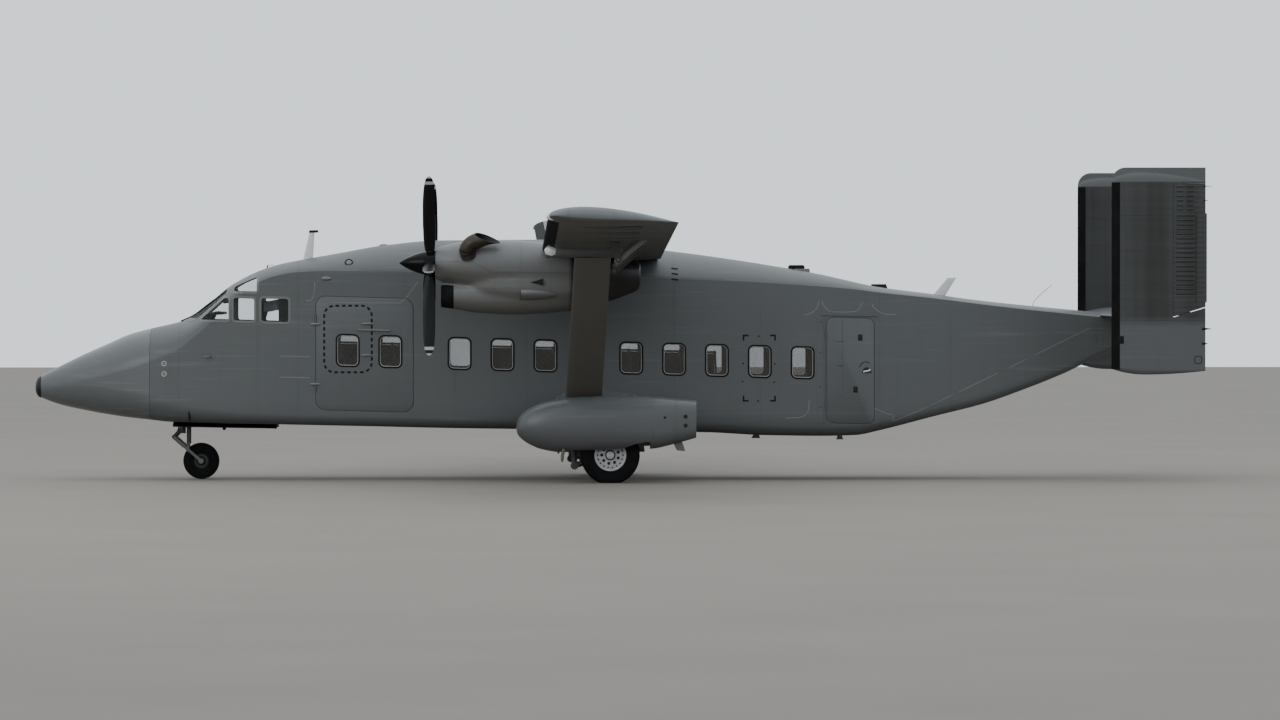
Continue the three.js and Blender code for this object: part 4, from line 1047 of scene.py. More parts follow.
WINDOW_XS = [2.879 - 0.653 * k for k in range(9)]
FRONT_XS = [-4.046, -3.398]
CARGO_DOOR = {"x0": -4.53, "x1": -3.05, "low": 0.963, "high": 2.69, "radius": 0.15}
CREW_DOOR = {"x0": 3.24, "x1": 3.97, "low": 0.972, "high": 2.58, "radius": 0.11}
DOOR_GAP = 0.01


def window_outline(x):
    return sloped(x, 1.875, 0.345, 0.484, 0.082)


def door_outline(door, grow=0.0):
    return panel(door["x0"] - grow, door["x1"] + grow, door["low"] - grow, door["high"] + grow,
        door["radius"] + grow, 10)


def through(outline, side):
    return slab(outline, 0.81, 1.4, flat_side(side))


# %% Cabin walls
at = stations(-4.7998, 4.0498, 0.1)
cabin = piece("cabin_skin", [shell(hull_rings(at), hull_rings(at, 0.1))], body_paint,
    stands_for=["belly", "cabin_wall_left", "cabin_wall_right", "roof_front", "roof_rear"])
holes = [through(window_outline(x), side) for x in WINDOW_XS for side in (-1, 1)]
holes += [through(window_outline(x), 1) for x in FRONT_XS]
holes += [through(door_outline(door, DOOR_GAP * 0.6), -1) for door in (CARGO_DOOR, CREW_DOOR)]
carve(cabin, holes)
line_inside(cabin, lining_paint, from_spine)
print("cabin skin:", len(cabin.data.polygons), "faces")

# %% [markdown]
# ### Windows
# Each window is a clear pane held by a black rubber seal that stands a little proud of the skin.
# Inside the seal a narrow pale retainer catches the light along its sill. Both are mouldings: one
# small profile carried round the outline of the hole.

# %% Seals, retainers and panes
SEAL = [
    (0.011, -0.003), (0.011, 0.003), (0.003, 0.006), (-0.01, 0.005), (-0.014, -0.002),
    (-0.012, -0.02)]
BEAD = [(-0.012, -0.003), (-0.021, -0.004), (-0.024, -0.012), (-0.022, -0.045), (-0.01, -0.045)]


def windows(word, centres, body):
    """Seal, retainer and pane for each window of a side; height is measured from the skin."""
    places = [on_side(side) for side in centres]
    rings = [(window_outline(x), place) for place, xs in zip(places, centres.values()) for x in xs]
    seals, beads = ([trim(o, form, place) for o, place in rings] for form in (SEAL, BEAD))
    piece(f"{word}_seals", seals, frame_rubber, body)
    piece(f"{word}_beads", beads, pale_bead, body)
    panes = [slab(moved_out(o, -0.011), -0.02, -0.014, place) for o, place in rings]
    piece(f"{word}_panes", panes, cabin_glass, body)


windows("cabin", {-1: WINDOW_XS, 1: [*WINDOW_XS, *FRONT_XS]}, "airframe")
windows("door", {-1: FRONT_XS}, "cargo_door")

# %% [markdown]
# ### Side doors
# Both side doors are flat plates on knuckle hinges along their forward edges. The cargo door has
# two windows, streamlined covers over its hinges, and a gutter; the passenger door has a folding
# line, a sunken handle and two small push panels.


# %% Door leaves with their hinge knuckles
LEAF_BARRELS = [(-0.0195, 0.0195)]
FRAME_BARRELS = [(-0.062, -0.0205), (0.0205, 0.062)]
HINGE_Y = -1.115


def knuckles(spots, barrels):
    """Short upright barrels on the hinge line: one on the leaf between two on the frame."""
    parts = []
    for spot in spots:
        for low, high in barrels:
            ends = [(low, 0.001), (low, 0.011), (low + 0.002, 0.0135), (high - 0.002, 0.0135)]
            parts.append(turned([*ends, (high, 0.011), (high, 0.001)], spot, (0, 0, 1), 20))
    return parts


LEAF = 0.06
hinge_rows = {"cargo_door": (CARGO_DOOR, [1.3, 2.35]), "passenger_door": (CREW_DOOR, [1.25, 2.3])}
for name, (door, hinge_levels) in hinge_rows.items():
    sheet = plate(door_outline(door), SIDE_Y - LEAF, SIDE_Y, flat_side(-1), 0.002)
    leaf = piece(f"{name}_leaf", [sheet], body_paint, name, stands_for=[name])
    if name == "cargo_door":
        carve(leaf, [slab(window_outline(x), 0.9, 1.3, flat_side(-1)) for x in FRONT_XS])
        inside = [plate(panel(x0, x1, 1.1, 2.55, 0.05), 1.035, 1.0505, flat_side(-1))
            for x0, x1 in ((-4.44, -4.26), (-3.82, -3.62))]
        piece("cargo_door_stiffeners", inside, lining_paint, name)
    hinge_x = door["x0"] - DOOR_GAP / 2
    spots = [(hinge_x, HINGE_Y, level - SLOPE * hinge_x) for level in hinge_levels]
    carve(cabin, [turned(drum(-0.021, 0.021, 0.0155), spot, (0, 0, 1), 20) for spot in spots])
    line_inside(leaf, lining_paint, lambda centres: np.tile([0.0, -1.0, 0.0], (len(centres), 1)))
    piece(f"{name}_leaf_knuckles", knuckles(spots, LEAF_BARRELS), body_paint, name)
    piece(f"{name}_frame_knuckles", knuckles(spots, FRAME_BARRELS), body_paint)
line_inside(cabin, lining_paint, from_spine)


# %% Small fairings, gutters and rails on the skin
def fairing(x0, x1, z, half, depth):
    """A teardrop bump on the side: its width and depth follow the square root of a sine."""
    t = np.linspace(0.02, 0.98, 13)
    size = np.sqrt(np.sin(np.pi * t**0.75))
    turn = np.linspace(0, np.pi, 9)
    x = x0 + (x1 - x0) * t[:, None] * np.ones_like(turn)
    up = z + half * size[:, None] * np.cos(turn)
    out = depth * size[:, None] * np.sin(turn) - 0.002
    return skin(LEFT(x, up, out))


def strip(points, half, depth, place):
    """A raised line through (u, v) points: a low flat ridge with eased edges."""
    points = np.asarray(points, float)
    along = unit(np.gradient(points, axis=0))
    aside = np.stack([-along[:, 1], along[:, 0]], axis=-1) * half
    ridge = [(-1, -0.001), (-1, depth * 0.6), (-0.6, depth)]
    ridge += [(-share, height) for share, height in ridge[::-1]]
    rows = [place(*(points + aside * share).T, height) for share, height in ridge]
    return skin(np.stack(rows, axis=1))


LEFT = on_side(-1)
# The hinge covers and door fittings are painted paler: painted highlight where they catch the
# light.
covers = [fairing(-4.62, -4.44, 2.386, 0.021, 0.034), fairing(-4.62, -4.45, 1.473, 0.02, 0.032)]
piece("cargo_door_covers", covers, fitting_highlight_grey, "airframe")
on_door = [
    fairing(-3.845, -3.645, 2.392, 0.02, 0.032), fairing(-3.845, -3.655, 1.913, 0.018, 0.03)]
on_door.append(strip([[-3.9, 2.3], [-3.66, 2.296], [-3.4, 2.288]], 0.014, 0.026, LEFT))
piece("cargo_door_fittings", on_door, fitting_highlight_grey, "cargo_door")
gutters = [strip([[3.16, 2.525], [3.5, 2.518], [4.02, 2.505]], 0.008, 0.012, LEFT)]
gutters.append(strip([[3.15, 0.88], [3.15, 1.7], [3.15, 2.515]], 0.042, 0.006, LEFT))
gutters.append(strip([[3.203, 0.88], [3.203, 1.7], [3.203, 2.515]], 0.012, 0.011, LEFT))
piece("doorway_gutter", gutters, body_paint)
post_dots = [turned([(0, 0.001), (0.003, 0.01), (0.008, 0.008), (0.009, 0.001)], (3.15, -1.113, z),
    (0, -1, 0), 12) for z in (1.12, 1.43, 1.95, 2.42)]
piece("doorway_bolts", post_dots, hub_dark)

# %% Passenger door: fold line, handle and push panels
fold = [strip([[3.487, 0.93], [3.487, 1.6], [3.487, 2.45]], 0.004, 0.004, LEFT)]
fold += [fairing(3.39, 3.52, z, 0.009, 0.012) for z in (1.31, 1.76, 2.13)]
piece("passenger_door_fold", fold, body_paint, "passenger_door")
push = [plate(sloped(x, z + SLOPE * x, 0.068, 0.096, 0.008), SIDE_Y - 0.002, SIDE_Y + 0.003,
    flat_side(-1), 0.001) for x, z in ((3.757, 2.18), (3.686, 1.388))]
piece("passenger_door_push_panels", push, trim_black, "passenger_door")
turn = np.linspace(0, np.pi, 22)
half_round = np.column_stack([3.857 + 0.072 * np.cos(turn), 1.64 + 0.086 * np.sin(turn)])
piece("passenger_door_handle_well",
    [plate(half_round, SIDE_Y - 0.003, SIDE_Y + 0.002, flat_side(-1), 0.001),
    strip(np.column_stack([3.84 + 0.105 * np.cos(turn[7:19]), 1.66 + 0.15 * np.sin(turn[7:19])]),
    0.006, 0.003, LEFT)], trim_black, "passenger_door")
piece("passenger_door_handle",
    [
    tube(eased([[3.81, -1.113, 1.655], [3.83, -1.128, 1.664], [3.88, -1.128, 1.672],
    [3.905, -1.113, 1.69]]), 0.013)], aerial_white, "passenger_door")


# %% Painted marks: a dashed outline round the forward exit, corners and dots round the rear one
MARK_DEPTH = 0.0012


def dashes(outline, pitch, length, half):
    """Short strips along a closed outline, evenly spaced."""
    whole, point_at = walked(outline)
    count = int(round(whole / pitch))
    starts = np.arange(count) * whole / count
    lines = point_at(starts[:, None] + np.linspace(0, length, 4))
    return [strip(line, half, MARK_DEPTH, LEFT) for line in lines]


exit_ring = rounded(0.724, 1.012, 0.155, 10) + np.array([-4.042, 2.159])
exit_dashes = dashes(exit_ring, 0.0965, 0.056, 0.0155)
piece("exit_dashes", exit_dashes, marking_black, "cargo_door")
marks = []
for right in (-1, 1):
    for up in (-1, 1):
        corner = np.array([2.218 + right * 0.24, 1.714 + up * 0.497])
        legs = [corner - [right * 0.076, 0], corner, corner - [0, up * 0.076]]
        marks.append(strip(legs[:2], 0.013, MARK_DEPTH, LEFT))
        marks.append(strip([legs[1] + [0, up * 0.0128], legs[2]], 0.013, MARK_DEPTH, LEFT))
exit_dots = [(2.212, 2.2), (2.2, 1.214), (1.97, 1.784), (2.455, 1.778), (1.962, 1.512)]
for x, z in [*exit_dots, (2.445, 1.5)]:
    marks.append(strip([[x - 0.011, z], [x + 0.011, z]], 0.011, MARK_DEPTH, LEFT))
piece("rear_exit_marks", marks, marking_black)
print("doors and marks done")

# %% [markdown]
# ### Inside the cabin
# Looking in through one row of windows, the eye goes straight out through the other row. Most of
# that view is blocked by folding seats stowed against the far wall, dark cloth with pale straps.
# Each seat bank is one curved sheet of cloth with a thickness, bulging between its rails.


# %% Seat banks stowed along the right wall
def seat_bank(x0, x1, low=1.06, high=1.955):
    """A wall of cloth: y bulges inwards between rails as the square of a sine, along and up."""
    x, level = np.meshgrid(stations(x0, x1, 0.04), np.linspace(low, high, 26), indexing="ij")
    bulge = np.abs(np.sin(np.pi * (x - x0) / 0.51)) ** 0.7 * np.sin(np.pi * (level - low)
        / (high - low)) ** 0.5
    fold = 0.012 * np.sin(level * 31 + x * 3)
    face = xyz(x, 0.9 - 0.045 * bulge - fold * bulge, level - SLOPE * x)
    back = face + np.array([0, 0.05, 0])
    back[..., 1] = 0.965
    ring = np.concatenate([face, back[:, ::-1]], axis=1)
    return skin(ring)


banks = [(-4.25, -3.1), (-2.1, 1.6)]
piece("stowed_seats", [seat_bank(*bank) for bank in banks], seat_cloth)
straps = []
for x, lean in [(-4.1, 0.12), (-3.93, -0.05), (-3.3, 0.1), (-1.63, -0.09), (-0.85, 0.06),
        (0.34, 0.07), (1.1, 0.05), (1.63, 0.02)]:
    foot, head = np.array([x, 0.86, 1.5 - SLOPE * x]), np.array([x - lean, 0.83, 2.0 - SLOPE * x])
    line = foot + np.linspace(0, 1, 8)[:, None] * (head - foot)
    aside, thick = np.array([0.018, 0, 0]), np.array([0, 0.004, 0])
    edges = [line - aside, line + aside, line + aside + thick, line - aside + thick]
    straps.append(skin(np.stack(edges, axis=1)))
piece("seat_straps", straps, blind_cloth)
rail_rows = [tube([[x0, 0.955, z - SLOPE * x0], [x1, 0.955, z - SLOPE * x1]], 0.016)
    for x0, x1 in banks for z in (1.03, 1.975)]
piece("seat_rails", rail_rows, leg_metal)


# %% Finishes of the CAD pieces that stay inside
KEPT_LOOKS = {"cargo_floor": floor_metal, "bulkhead": lining_paint, "cockpit_deck": lining_paint,
    "instrument_panel": bay_black, "engine_left": engine_metal, "engine_right": engine_metal}
for node, look in KEPT_LOOKS.items():
    looks = bpy.data.objects[node].data.materials
    looks.clear()
    looks.append(look)


# %% Pilots' seats
def cushion(centre, across_u, across_v, thick, crown=0.5):
    """A crowned pad: a rounded square whose thickness is the root of one minus r to the sixth."""
    turn = full_turn(48)
    outline = np.stack([np.cos(turn), np.sin(turn)], axis=-1)
    outline = np.sign(outline) * np.abs(outline) ** 0.42
    radius = np.sin(np.linspace(0.02, np.pi / 2, 12))
    radius = np.concatenate([radius, radius[-2::-1]])
    side = np.concatenate([np.ones(12), -np.ones(11)])
    height = side * np.sqrt(1 - np.minimum(radius, 1) ** 6 * 0.999) * (1 - crown * radius**2)
    u, v = np.asarray(across_u, float), np.asarray(across_v, float)
    up = unit(np.cross(u, v)) * thick
    points = (np.asarray(centre) + radius[:, None, None] * (outline[:, :1] * u + outline[:, 1:]
        * v) + height[:, None, None] * up)
    return skin(points)


for side, word in SIDES:
    y = side * 0.48
    seat = piece(f"pilot_seat_{word}",
        [slab(rounded(0.4, 0.035, 0.015) + [-5.67, 1.93], y - 0.2, y + 0.2, sideways),
        slab([[-5.5, 1.93], [-5.3, 2.6], [-5.34, 2.74], [-5.37, 2.74], [-5.36, 2.6],
        [-5.54, 1.93]], y - 0.22, y + 0.22, sideways), tube([[-5.67, y, 1.5004], [-5.67, y, 1.93]],
        0.07, 24)], trim_black, stands_for=[f"seat_{word}"])
    pads = [cushion((-5.71, y, 2.0), (0.22, 0, 0.012), (0, 0.21, 0), 0.055, 0.3),
        cushion((-5.475, y, 2.3), (0.085, 0, 0.27), (0, 0.2, 0), 0.045, 0.3),
        cushion((-5.395, y, 2.665), (0.022, 0, 0.075), (0, 0.13, 0), 0.045, 0.3)]
    for number, pad in enumerate(pads):
        made = piece(f"seat_pad_{word}_{number}", [pad], seat_cloth)
    yoke = np.linspace(0.6, 2 * np.pi - 0.6, 20)
    wheel_line = xyz(-6.18, y + 0.15 * np.sin(yoke), 2.2 - 0.1 * np.cos(yoke))
    piece(f"control_wheel_{word}",
        [tube(eased([[-6.22, y, 1.5], [-6.24, y, 1.9], [-6.18, y, 2.17]]), 0.022),
        tube(wheel_line, 0.014)], trim_black)

# %% Instruments, the folded sun visor and the wipers
dials = []
for z in (2.02, 2.16):
    for y in np.linspace(-0.55, 0.55, 9):
        rim = [(-0.002, 0.001), (-0.002, 0.052), (0.01, 0.052)]
        profile = [*rim, (0.01, 0.044), (0.004, 0.042), (0.004, 0.001)]
        dials.append(turned(profile, (-6.283, y, z), (1, 0, 0), 24))
piece("instrument_dials", dials, hub_dark)
hood = [[-6.3, 2.3], [-6.3, 2.46], [-6.22, 2.53], [-6.08, 2.575], [-5.95, 2.565], [-5.94, 2.53],
    [-6.1, 2.52], [-6.2, 2.3]]
trims = [slab(hood, -0.6, 0.6, sideways)]
for side in (-1, 1):
    trims.append(plate(rounded(0.21, 0.52, 0.03) + [-4.985, 2.62], side * 0.9, side * 0.965,
        sideways, side * 0.01))
    trims.append(cushion((-5.93, side * 0.6, 2.74), (0.035, 0, 0), (0, 0.05, 0), 0.045, 0.2))
piece("cockpit_dark_trims", trims, trim_black)
visor_u = np.linspace(-5.33, -5.09, 9)
visor_rows = np.stack([xyz(visor_u, -0.9 - 0.012 * np.sin((visor_u + 5.34) * 40) + dy,
    z + 0.014 * np.sin(visor_u * 17)) for z, dy in ((2.585, 0), (2.66, 0.01), (2.75, 0.02),
    (2.75, 0.03), (2.66, 0.02), (2.585, 0.01))], axis=1)
piece("window_visor", [skin(visor_rows)], visor_cloth)
wipers = []
for side in (-1, 1):
    front = on_nose(side)
    arm = front(np.array([0.1, 0.22, 0.4, 0.52]), np.array([2.43, 2.52, 2.66, 2.76]), 0.035)
    blade = front(np.array([0.36, 0.52, 0.66]), np.array([2.56, 2.74, 2.88]), 0.026)
    wipers += [tube(eased(arm), 0.008), tube(eased(blade), 0.009),
        tube([arm[0], arm[0] + [0.05, 0, -0.03]], 0.018)]
piece("wipers", wipers, marking_black)
print("interior done")

# %% [markdown]
# ### Tail and ramp
# Behind the cabin the hull tapers up to the tailplane. Its underside is the loading ramp, hinged
# at the forward edge. The ramp is exactly the part of the hull's solid that lies in its opening.


# %% Tail skin and the ramp cut from it
def ramp_room(grow, lift):
    """Rows of four corners along the ramp, from below the hull to a height above its underside;
    the aft end leans forward as it rises."""
    x = np.linspace(4.075 - grow, 6.78 + grow, 18)
    lean = np.linspace(0, 1, 18) ** 8 * 0.34
    belly = hull_values(x)[0]
    half = np.interp(x, [3.875, 5.65, 6.98], [0.905, 0.845, 0.64]) + 2 * grow
    low = xyz(x + 0.4 * lean, -half, belly - 0.4)
    high = xyz(x - lift * lean, -half, belly + lift)
    other = np.array([1, -1, 1])
    return skin(np.stack([low, low * other, high * other, high], axis=1))


tail_at = stations(4.0502, 8.12, 0.09)
tail_skin = piece("tail_skin", [skin(hull_rings(tail_at))], body_paint, stands_for=["tail_shell"])
carve(tail_skin, [skin(hull_rings(stations(4.0, 7.0, 0.2), 0.1))])
carve(tail_skin, [ramp_room(0.008, 0.16)])
carve(tail_skin, [block((8.22, -1.5, 2.38), (9.5, 1.5, 3.2))])
line_inside(tail_skin, lining_paint, lambda centres: centres * [-0.06, 1, 1] + [4.3, 0, -2.3])
ramp = piece("ramp_skin", [skin(hull_rings(stations(4.06, 6.96, 0.09)))], body_paint, "rear_ramp",
    stands_for=["rear_ramp"])
carve(ramp, [ramp_room(0.0, 0.08)], "INTERSECT")
line_inside(ramp, floor_metal, lambda c: np.tile([0.0, 0.0, -1.0], (len(c), 1)))
ramp_hinge, frame_hinge = [], []
for y in (-0.6, 0.0, 0.6):
    origin = (4.071, y, 0.7654)
    for spans, parts in ((LEAF_BARRELS, ramp_hinge), (FRAME_BARRELS, frame_hinge)):
        for low, high in spans:
            parts.append(turned(drum(low, high, 0.0135), origin, (0, 1, 0), 20))
piece("ramp_knuckles", ramp_hinge, leg_metal, "rear_ramp")
piece("ramp_frame_knuckles", frame_hinge, leg_metal)
sill = []
for side in (-1, 1):
    x = np.linspace(4.08, 7.35, 22)
    belly, _, _, half, corner = hull_values(x)
    z = belly + corner * 1.25
    sill.append(strip(np.column_stack([x, z]), 0.008, 0.003, on_side(side)))
piece("tail_sill_strips", sill, body_paint)
print("tail done")

# %% [markdown]
# ## The wing
# One section shape serves the whole wing: a general-purpose aerofoil, thinner towards the tips.
# Outboard of the engines the wing rises by three degrees. The flaps and ailerons are the same
# section's tail end with a round nose added, and the wing in front of them has a hollow to match.

# %% Wing sections
WING = {"le": -1.105, "chord": 1.785, "root": 3.43, "half": 11.38, "bend": 2.3, "joint": 3.95}
CAMBER = 0.022
DIHEDRAL, INCIDENCE = np.tan(np.radians([3.0, 3.1]))


def foil_half(thickness, s):
    """Half thickness over chord of the four-digit aerofoil at shares s of the chord."""
    s = np.asarray(s, float)
    shape = 0.2969 * np.sqrt(s) - 0.126 * s - 0.3516 * s**2 + 0.2843 * s**3 - 0.1 * s**4
    return 5 * thickness * shape


def wing_mid(y):
    """Height of the wing's middle: level to the bend, then rising evenly."""
    return WING["root"] + np.maximum(0, np.abs(y) - WING["bend"]) * DIHEDRAL


def wing_thick(y):
    """Thickness over chord, falling evenly from root to tip."""
    return 0.18 - 0.04 * np.abs(y) / WING["half"]


def wing_line(y, s):
    """Height of the section's middle line at a share of the chord."""
    return wing_mid(y) + ((0.5 - s) * INCIDENCE + 4 * CAMBER * s * (1 - s)) * WING["chord"]


def wing_face(y, s, sign, scale=1.0, proud=0.0):
    """Points of the upper (sign 1) or lower (-1) face; scale draws the section in at a tip."""
    y, s = np.broadcast_arrays(np.asarray(y, float), np.asarray(s, float))
    lead = WING["le"] + (1 - scale) * 0.12
    chord = WING["chord"] - (1 - scale) * 0.12
    half = foil_half(wing_thick(y) * scale, s) * chord + proud
    middle = wing_mid(y) + (0.5 - s) * chord * INCIDENCE + 4 * CAMBER * scale * s * (1 - s) * chord
    return xyz(lead + s * chord - proud * (1 - s) ** 8, y, middle + sign * half)


SHARES = 0.5 - 0.5 * np.cos(np.linspace(0, np.pi, 34))
RING_SHARES = np.concatenate([SHARES[::-1], SHARES[1:]])[None]  # from the rear edge, over and back
RING_SIGNS = np.concatenate([np.ones(34), -np.ones(33)])[None]


def wing_rows(ys, scales=1.0):
    """Rings of the whole section at each y."""
    scales = np.broadcast_to(scales, (len(ys),))[:, None]
    return wing_face(ys[:, None], RING_SHARES, RING_SIGNS, scales)


SURFACES = {"flap_inner": (1.18, 2.26, 0.72), "flap_outer": (3.99, 7.62, 0.72),
    "aileron": (7.7, 11.12, 0.77)}
END_GAP = 0.015
MOVE_GAP = 0.008


def cone(start, end, r0, r1, sides=40):
    """A round bar between two points, with a radius at each."""
    start, end = np.asarray(start, float), np.asarray(end, float)
    long = np.linalg.norm(end - start)
    return turned([(0, 0.0005), (0, r0), (long, r1), (long, 0.0005)], start, end - start, sides)


def surface_bay(name, side):
    """What is cut from the wing for a flap or aileron: its nose with room, and all behind it."""
    y0, y1, s = SURFACES[name]
    x = WING["le"] + s * WING["chord"]
    half = [foil_half(wing_thick(y), s) * WING["chord"] for y in (y0, y1)]
    ends = [(x, side * y, wing_line(y, s)) for y in (y0, y1)]
    low, high = sorted((side * y0, side * y1))
    tools = [cone(*ends, *[h - 0.004 + MOVE_GAP for h in half]),
        block((x, low, 2.8), (x + 1, high, 4.6))]
    if name != "aileron":
        lips = [(x - 0.012, e[1], e[2] - h) for e, h in zip(ends, half)]
        tools.append(cone(*lips, 0.04, 0.04))
    return tools


NOSE_ARC = np.linspace(np.pi / 2, 3 * np.pi / 2, 15)[None, 1:-1]


def rear_shares(start, count):
    """Shares of the chord from the rear edge forward to start, closer together at both ends."""
    return 1 - (1 - start) * (0.5 - 0.5 * np.cos(np.linspace(0, np.pi, count)))[None]


def surface_skin(name, side):
    """The tail end of the section with a round nose: an ellipse as tall as the section there."""
    y0, y1, s0 = SURFACES[name]
    y = side * np.linspace(y0 + END_GAP, y1 - END_GAP, 24)[:, None]
    s = rear_shares(s0, 15)
    upper, lower = wing_face(y, s, 1), wing_face(y, s[:, ::-1], -1)
    half = foil_half(wing_thick(y), s0) * WING["chord"]
    x = WING["le"] + s0 * WING["chord"] + (half - 0.004) * np.cos(NOSE_ARC)
    z = wing_line(y, s0) + half * np.sin(NOSE_ARC)
    nose = xyz(x, y, z)
    return skin(np.concatenate([upper, nose, lower], axis=1))


# %% Wing panels
inner = np.concatenate([-np.linspace(2.3, 3.9498, 8)[::-1], np.linspace(-2.2, 2.2, 12),
    np.linspace(2.3, 3.9498, 8)])
centre_wing = piece("wing_centre_skin", [skin(wing_rows(inner))], wing_paint,
    stands_for=["wing_centre"])
carve_each(centre_wing, surface_bay("flap_inner", -1) + surface_bay("flap_inner", 1))
tip = quarter_turn(12)
for side, word in SIDES:
    ys = np.concatenate([np.linspace(3.9502, 11.19, 30), 11.2 + 0.178 * np.sin(tip)])
    scales = np.concatenate([np.ones(30), np.maximum(np.cos(tip), 0.05) ** 0.8])
    outer_wing = piece(f"wing_outer_skin_{word}", [skin(wing_rows(side * ys, scales))], wing_paint,
        stands_for=[f"wing_outer_{word}"])
    carve_each(outer_wing, surface_bay("flap_outer", side) + surface_bay("aileron", side))
    for name in SURFACES:
        piece(f"{name}_skin_{word}", [surface_skin(name, side)], wing_paint, f"{name}_{word}",
            stands_for=[f"{name}_{word}"])


# %% Leading-edge boots
def boot(place, shares, rows, proud=0.002):
    """A thin rubber sleeve round a leading edge: the section's nose moved out, over the skin."""
    s = np.concatenate([shares[::-1], shares[1:]])
    sign = np.concatenate([np.ones(len(shares)), -np.ones(len(shares) - 1)])
    outside = place(rows[:, None], s[None], sign[None], proud)
    inside = place(rows[:, None], s[None], sign[None], -0.001)
    return skin(np.concatenate([outside, inside[:, ::-1]], axis=1))


boot_shares = 0.085 * (1 - np.cos(quarter_turn(12)))
for side, word in SIDES:
    rows = side * np.linspace(3.42, 11.17, 40)
    piece(f"wing_boot_{word}",
        [boot(lambda y, s, sign, p: wing_face(y, s, sign, 1.0, p), boot_shares, rows)],
        boot_rubber)

# %% [markdown]
# ### Under the wing
# Each flap turns on arms that reach well below the wing, so that it moves back as it drops. The
# strut meets the wing in a long fairing with a lamp in its nose.


# %% Flap arms, brackets and hinge covers
def flap_pivot(y):
    """Where a flap's arm turns, below the wing."""
    return np.array([-0.06, y, wing_mid(y) - 0.345])


ARM_YS = {"flap_inner": [1.7], "flap_outer": [4.3, 5.95, 7.3]}
for side, word in SIDES:
    cheeks, ledges = [], []
    for name, ys in ARM_YS.items():
        arms = []
        for y in side * np.array(ys):
            pivot = flap_pivot(y)
            tilt = side * DIHEDRAL if abs(y) > WING["bend"] else 0.0
            axis = np.array([0, 1.0, tilt])
            eye = both_ends([(-0.05, 0.017), (-0.05, 0.05), (-0.044, 0.057)])
            ring = turned([*eye, eye[0]], pivot, axis, 32)
            end = np.array([0.33, y, wing_line(abs(y), 0.78) - 0.02])
            way = unit(end - pivot)
            arms += [ring, tube([pivot + way * 0.05, pivot + way * 0.12, end - way * 0.1, end],
                [0.052, 0.048, 0.048, 0.05], 24)]
            arms.append(tube([pivot + way * 0.1, pivot + way * 0.125], 0.051, 24))
            for cheek in (-1, 1):
                off = y + cheek * (0.058 + 0.011)
                top = wing_mid(y) - 0.06
                outline = [[-0.2, top], [-0.105, pivot[2]], [-0.092, pivot[2] - 0.028],
                    [-0.06, pivot[2] - 0.044], [-0.028, pivot[2] - 0.03],
                    [-0.018, pivot[2] - 0.004], [-0.04, top]]
                if abs(y) > 7:
                    ledges.append(slab(outline, off - 0.009, off + 0.009, sideways))
            pin = both_ends([(-0.088, 0.001), (-0.088, 0.024), (-0.084, 0.027), (-0.08, 0.015)])
            cheeks.append(turned(pin, pivot, axis, 24))
        # The outer arm takes the paler fitting grey as painted highlight; the arms further in are
        # painted dark as shade.
        piece(f"{name}_arms_{word}", arms[-3:], fitting_highlight_grey, f"{name}_{word}")
        if arms[:-3]:
            piece(f"{name}_inner_arms_{word}", arms[:-3], leg_dark, f"{name}_{word}")
    for y in (8.1, 9.4, 10.7):
        line = eased([[x, side * y, wing_line(y, s) - drop]
            for x, s, drop in ((-0.62, 0.3, 0.12), (-0.1, 0.55, 0.125), (0.2, 0.74, 0.085))])
        cheeks.append(tube(line, np.linspace(0.018, 0.034, len(line)), 14))
    piece(f"flap_brackets_{word}", cheeks, wing_paint)
    # The pivot cheeks are painted dark to stand in for the shade round the pivots.
    piece(f"flap_pivot_cheeks_{word}", ledges, leg_dark)

# %% Strut fairing with its lamp, and the tip's lamp
STRUT = {"foot": (-0.472, 2.12), "top": (-0.395, 5.4), "low": 1.3, "high": 3.385, "chord": 0.545}
pylon_x = np.array([-1.08, -1.06, -1.02, -0.95, -0.85, -0.5, -0.1, -0.02, 0.055])
pylon_half = np.array([0.03, 0.052, 0.07, 0.082, 0.088, 0.09, 0.086, 0.07, 0.04])
for side, word in SIDES:
    y = side * 5.4
    top = wing_mid(5.4) - 0.04
    low = np.maximum(3.3855, top - 0.165 - np.interp(pylon_x, [-1.08, -1.02, -0.93, -0.1, 0.055],
        [0.05, 0.08, 0.1, 0.1, 0.07]))
    turn = np.linspace(0, np.pi, 13)
    across_y = y + pylon_half[:, None] * np.concatenate([[1], np.cos(turn), [-1]])
    drop = np.concatenate([[0], np.sin(turn) ** 0.45, [0]])
    z = np.concatenate([np.full((9, 1), top), (low[:, None] + 0.09) - 0.09 * drop[None, 1:-1],
        np.full((9, 1), top)], axis=1)
    x = np.broadcast_to(pylon_x[:, None], z.shape)
    piece(f"strut_fairing_{word}", [skin(xyz(x, across_y, z))], wing_paint)
    bulb = [(-0.014, 0.001), (0.0, 0.04), (0.022, 0.07), (0.06, 0.09), (0.105, 0.096),
        (0.15, 0.09), (0.155, 0.001)]
    lens = turned(bulb, (-1.085, y, 3.492), (1, 0, -0.1), 32)
    piece(f"landing_lamp_{word}", [lens], lamp_shell)
    spot = [
        (0.0, 0.001), (0.01, 0.028), (0.04, 0.046), (0.09, 0.055), (0.14, 0.048), (0.17, 0.02),
        (0.175, 0.001)]
    piece(f"tip_lamp_{word}",
        [turned(spot, (-1.135, side * 11.235, wing_mid(11.19) + 0.045), (1, 0, -0.05), 28)],
        lamp_shell)

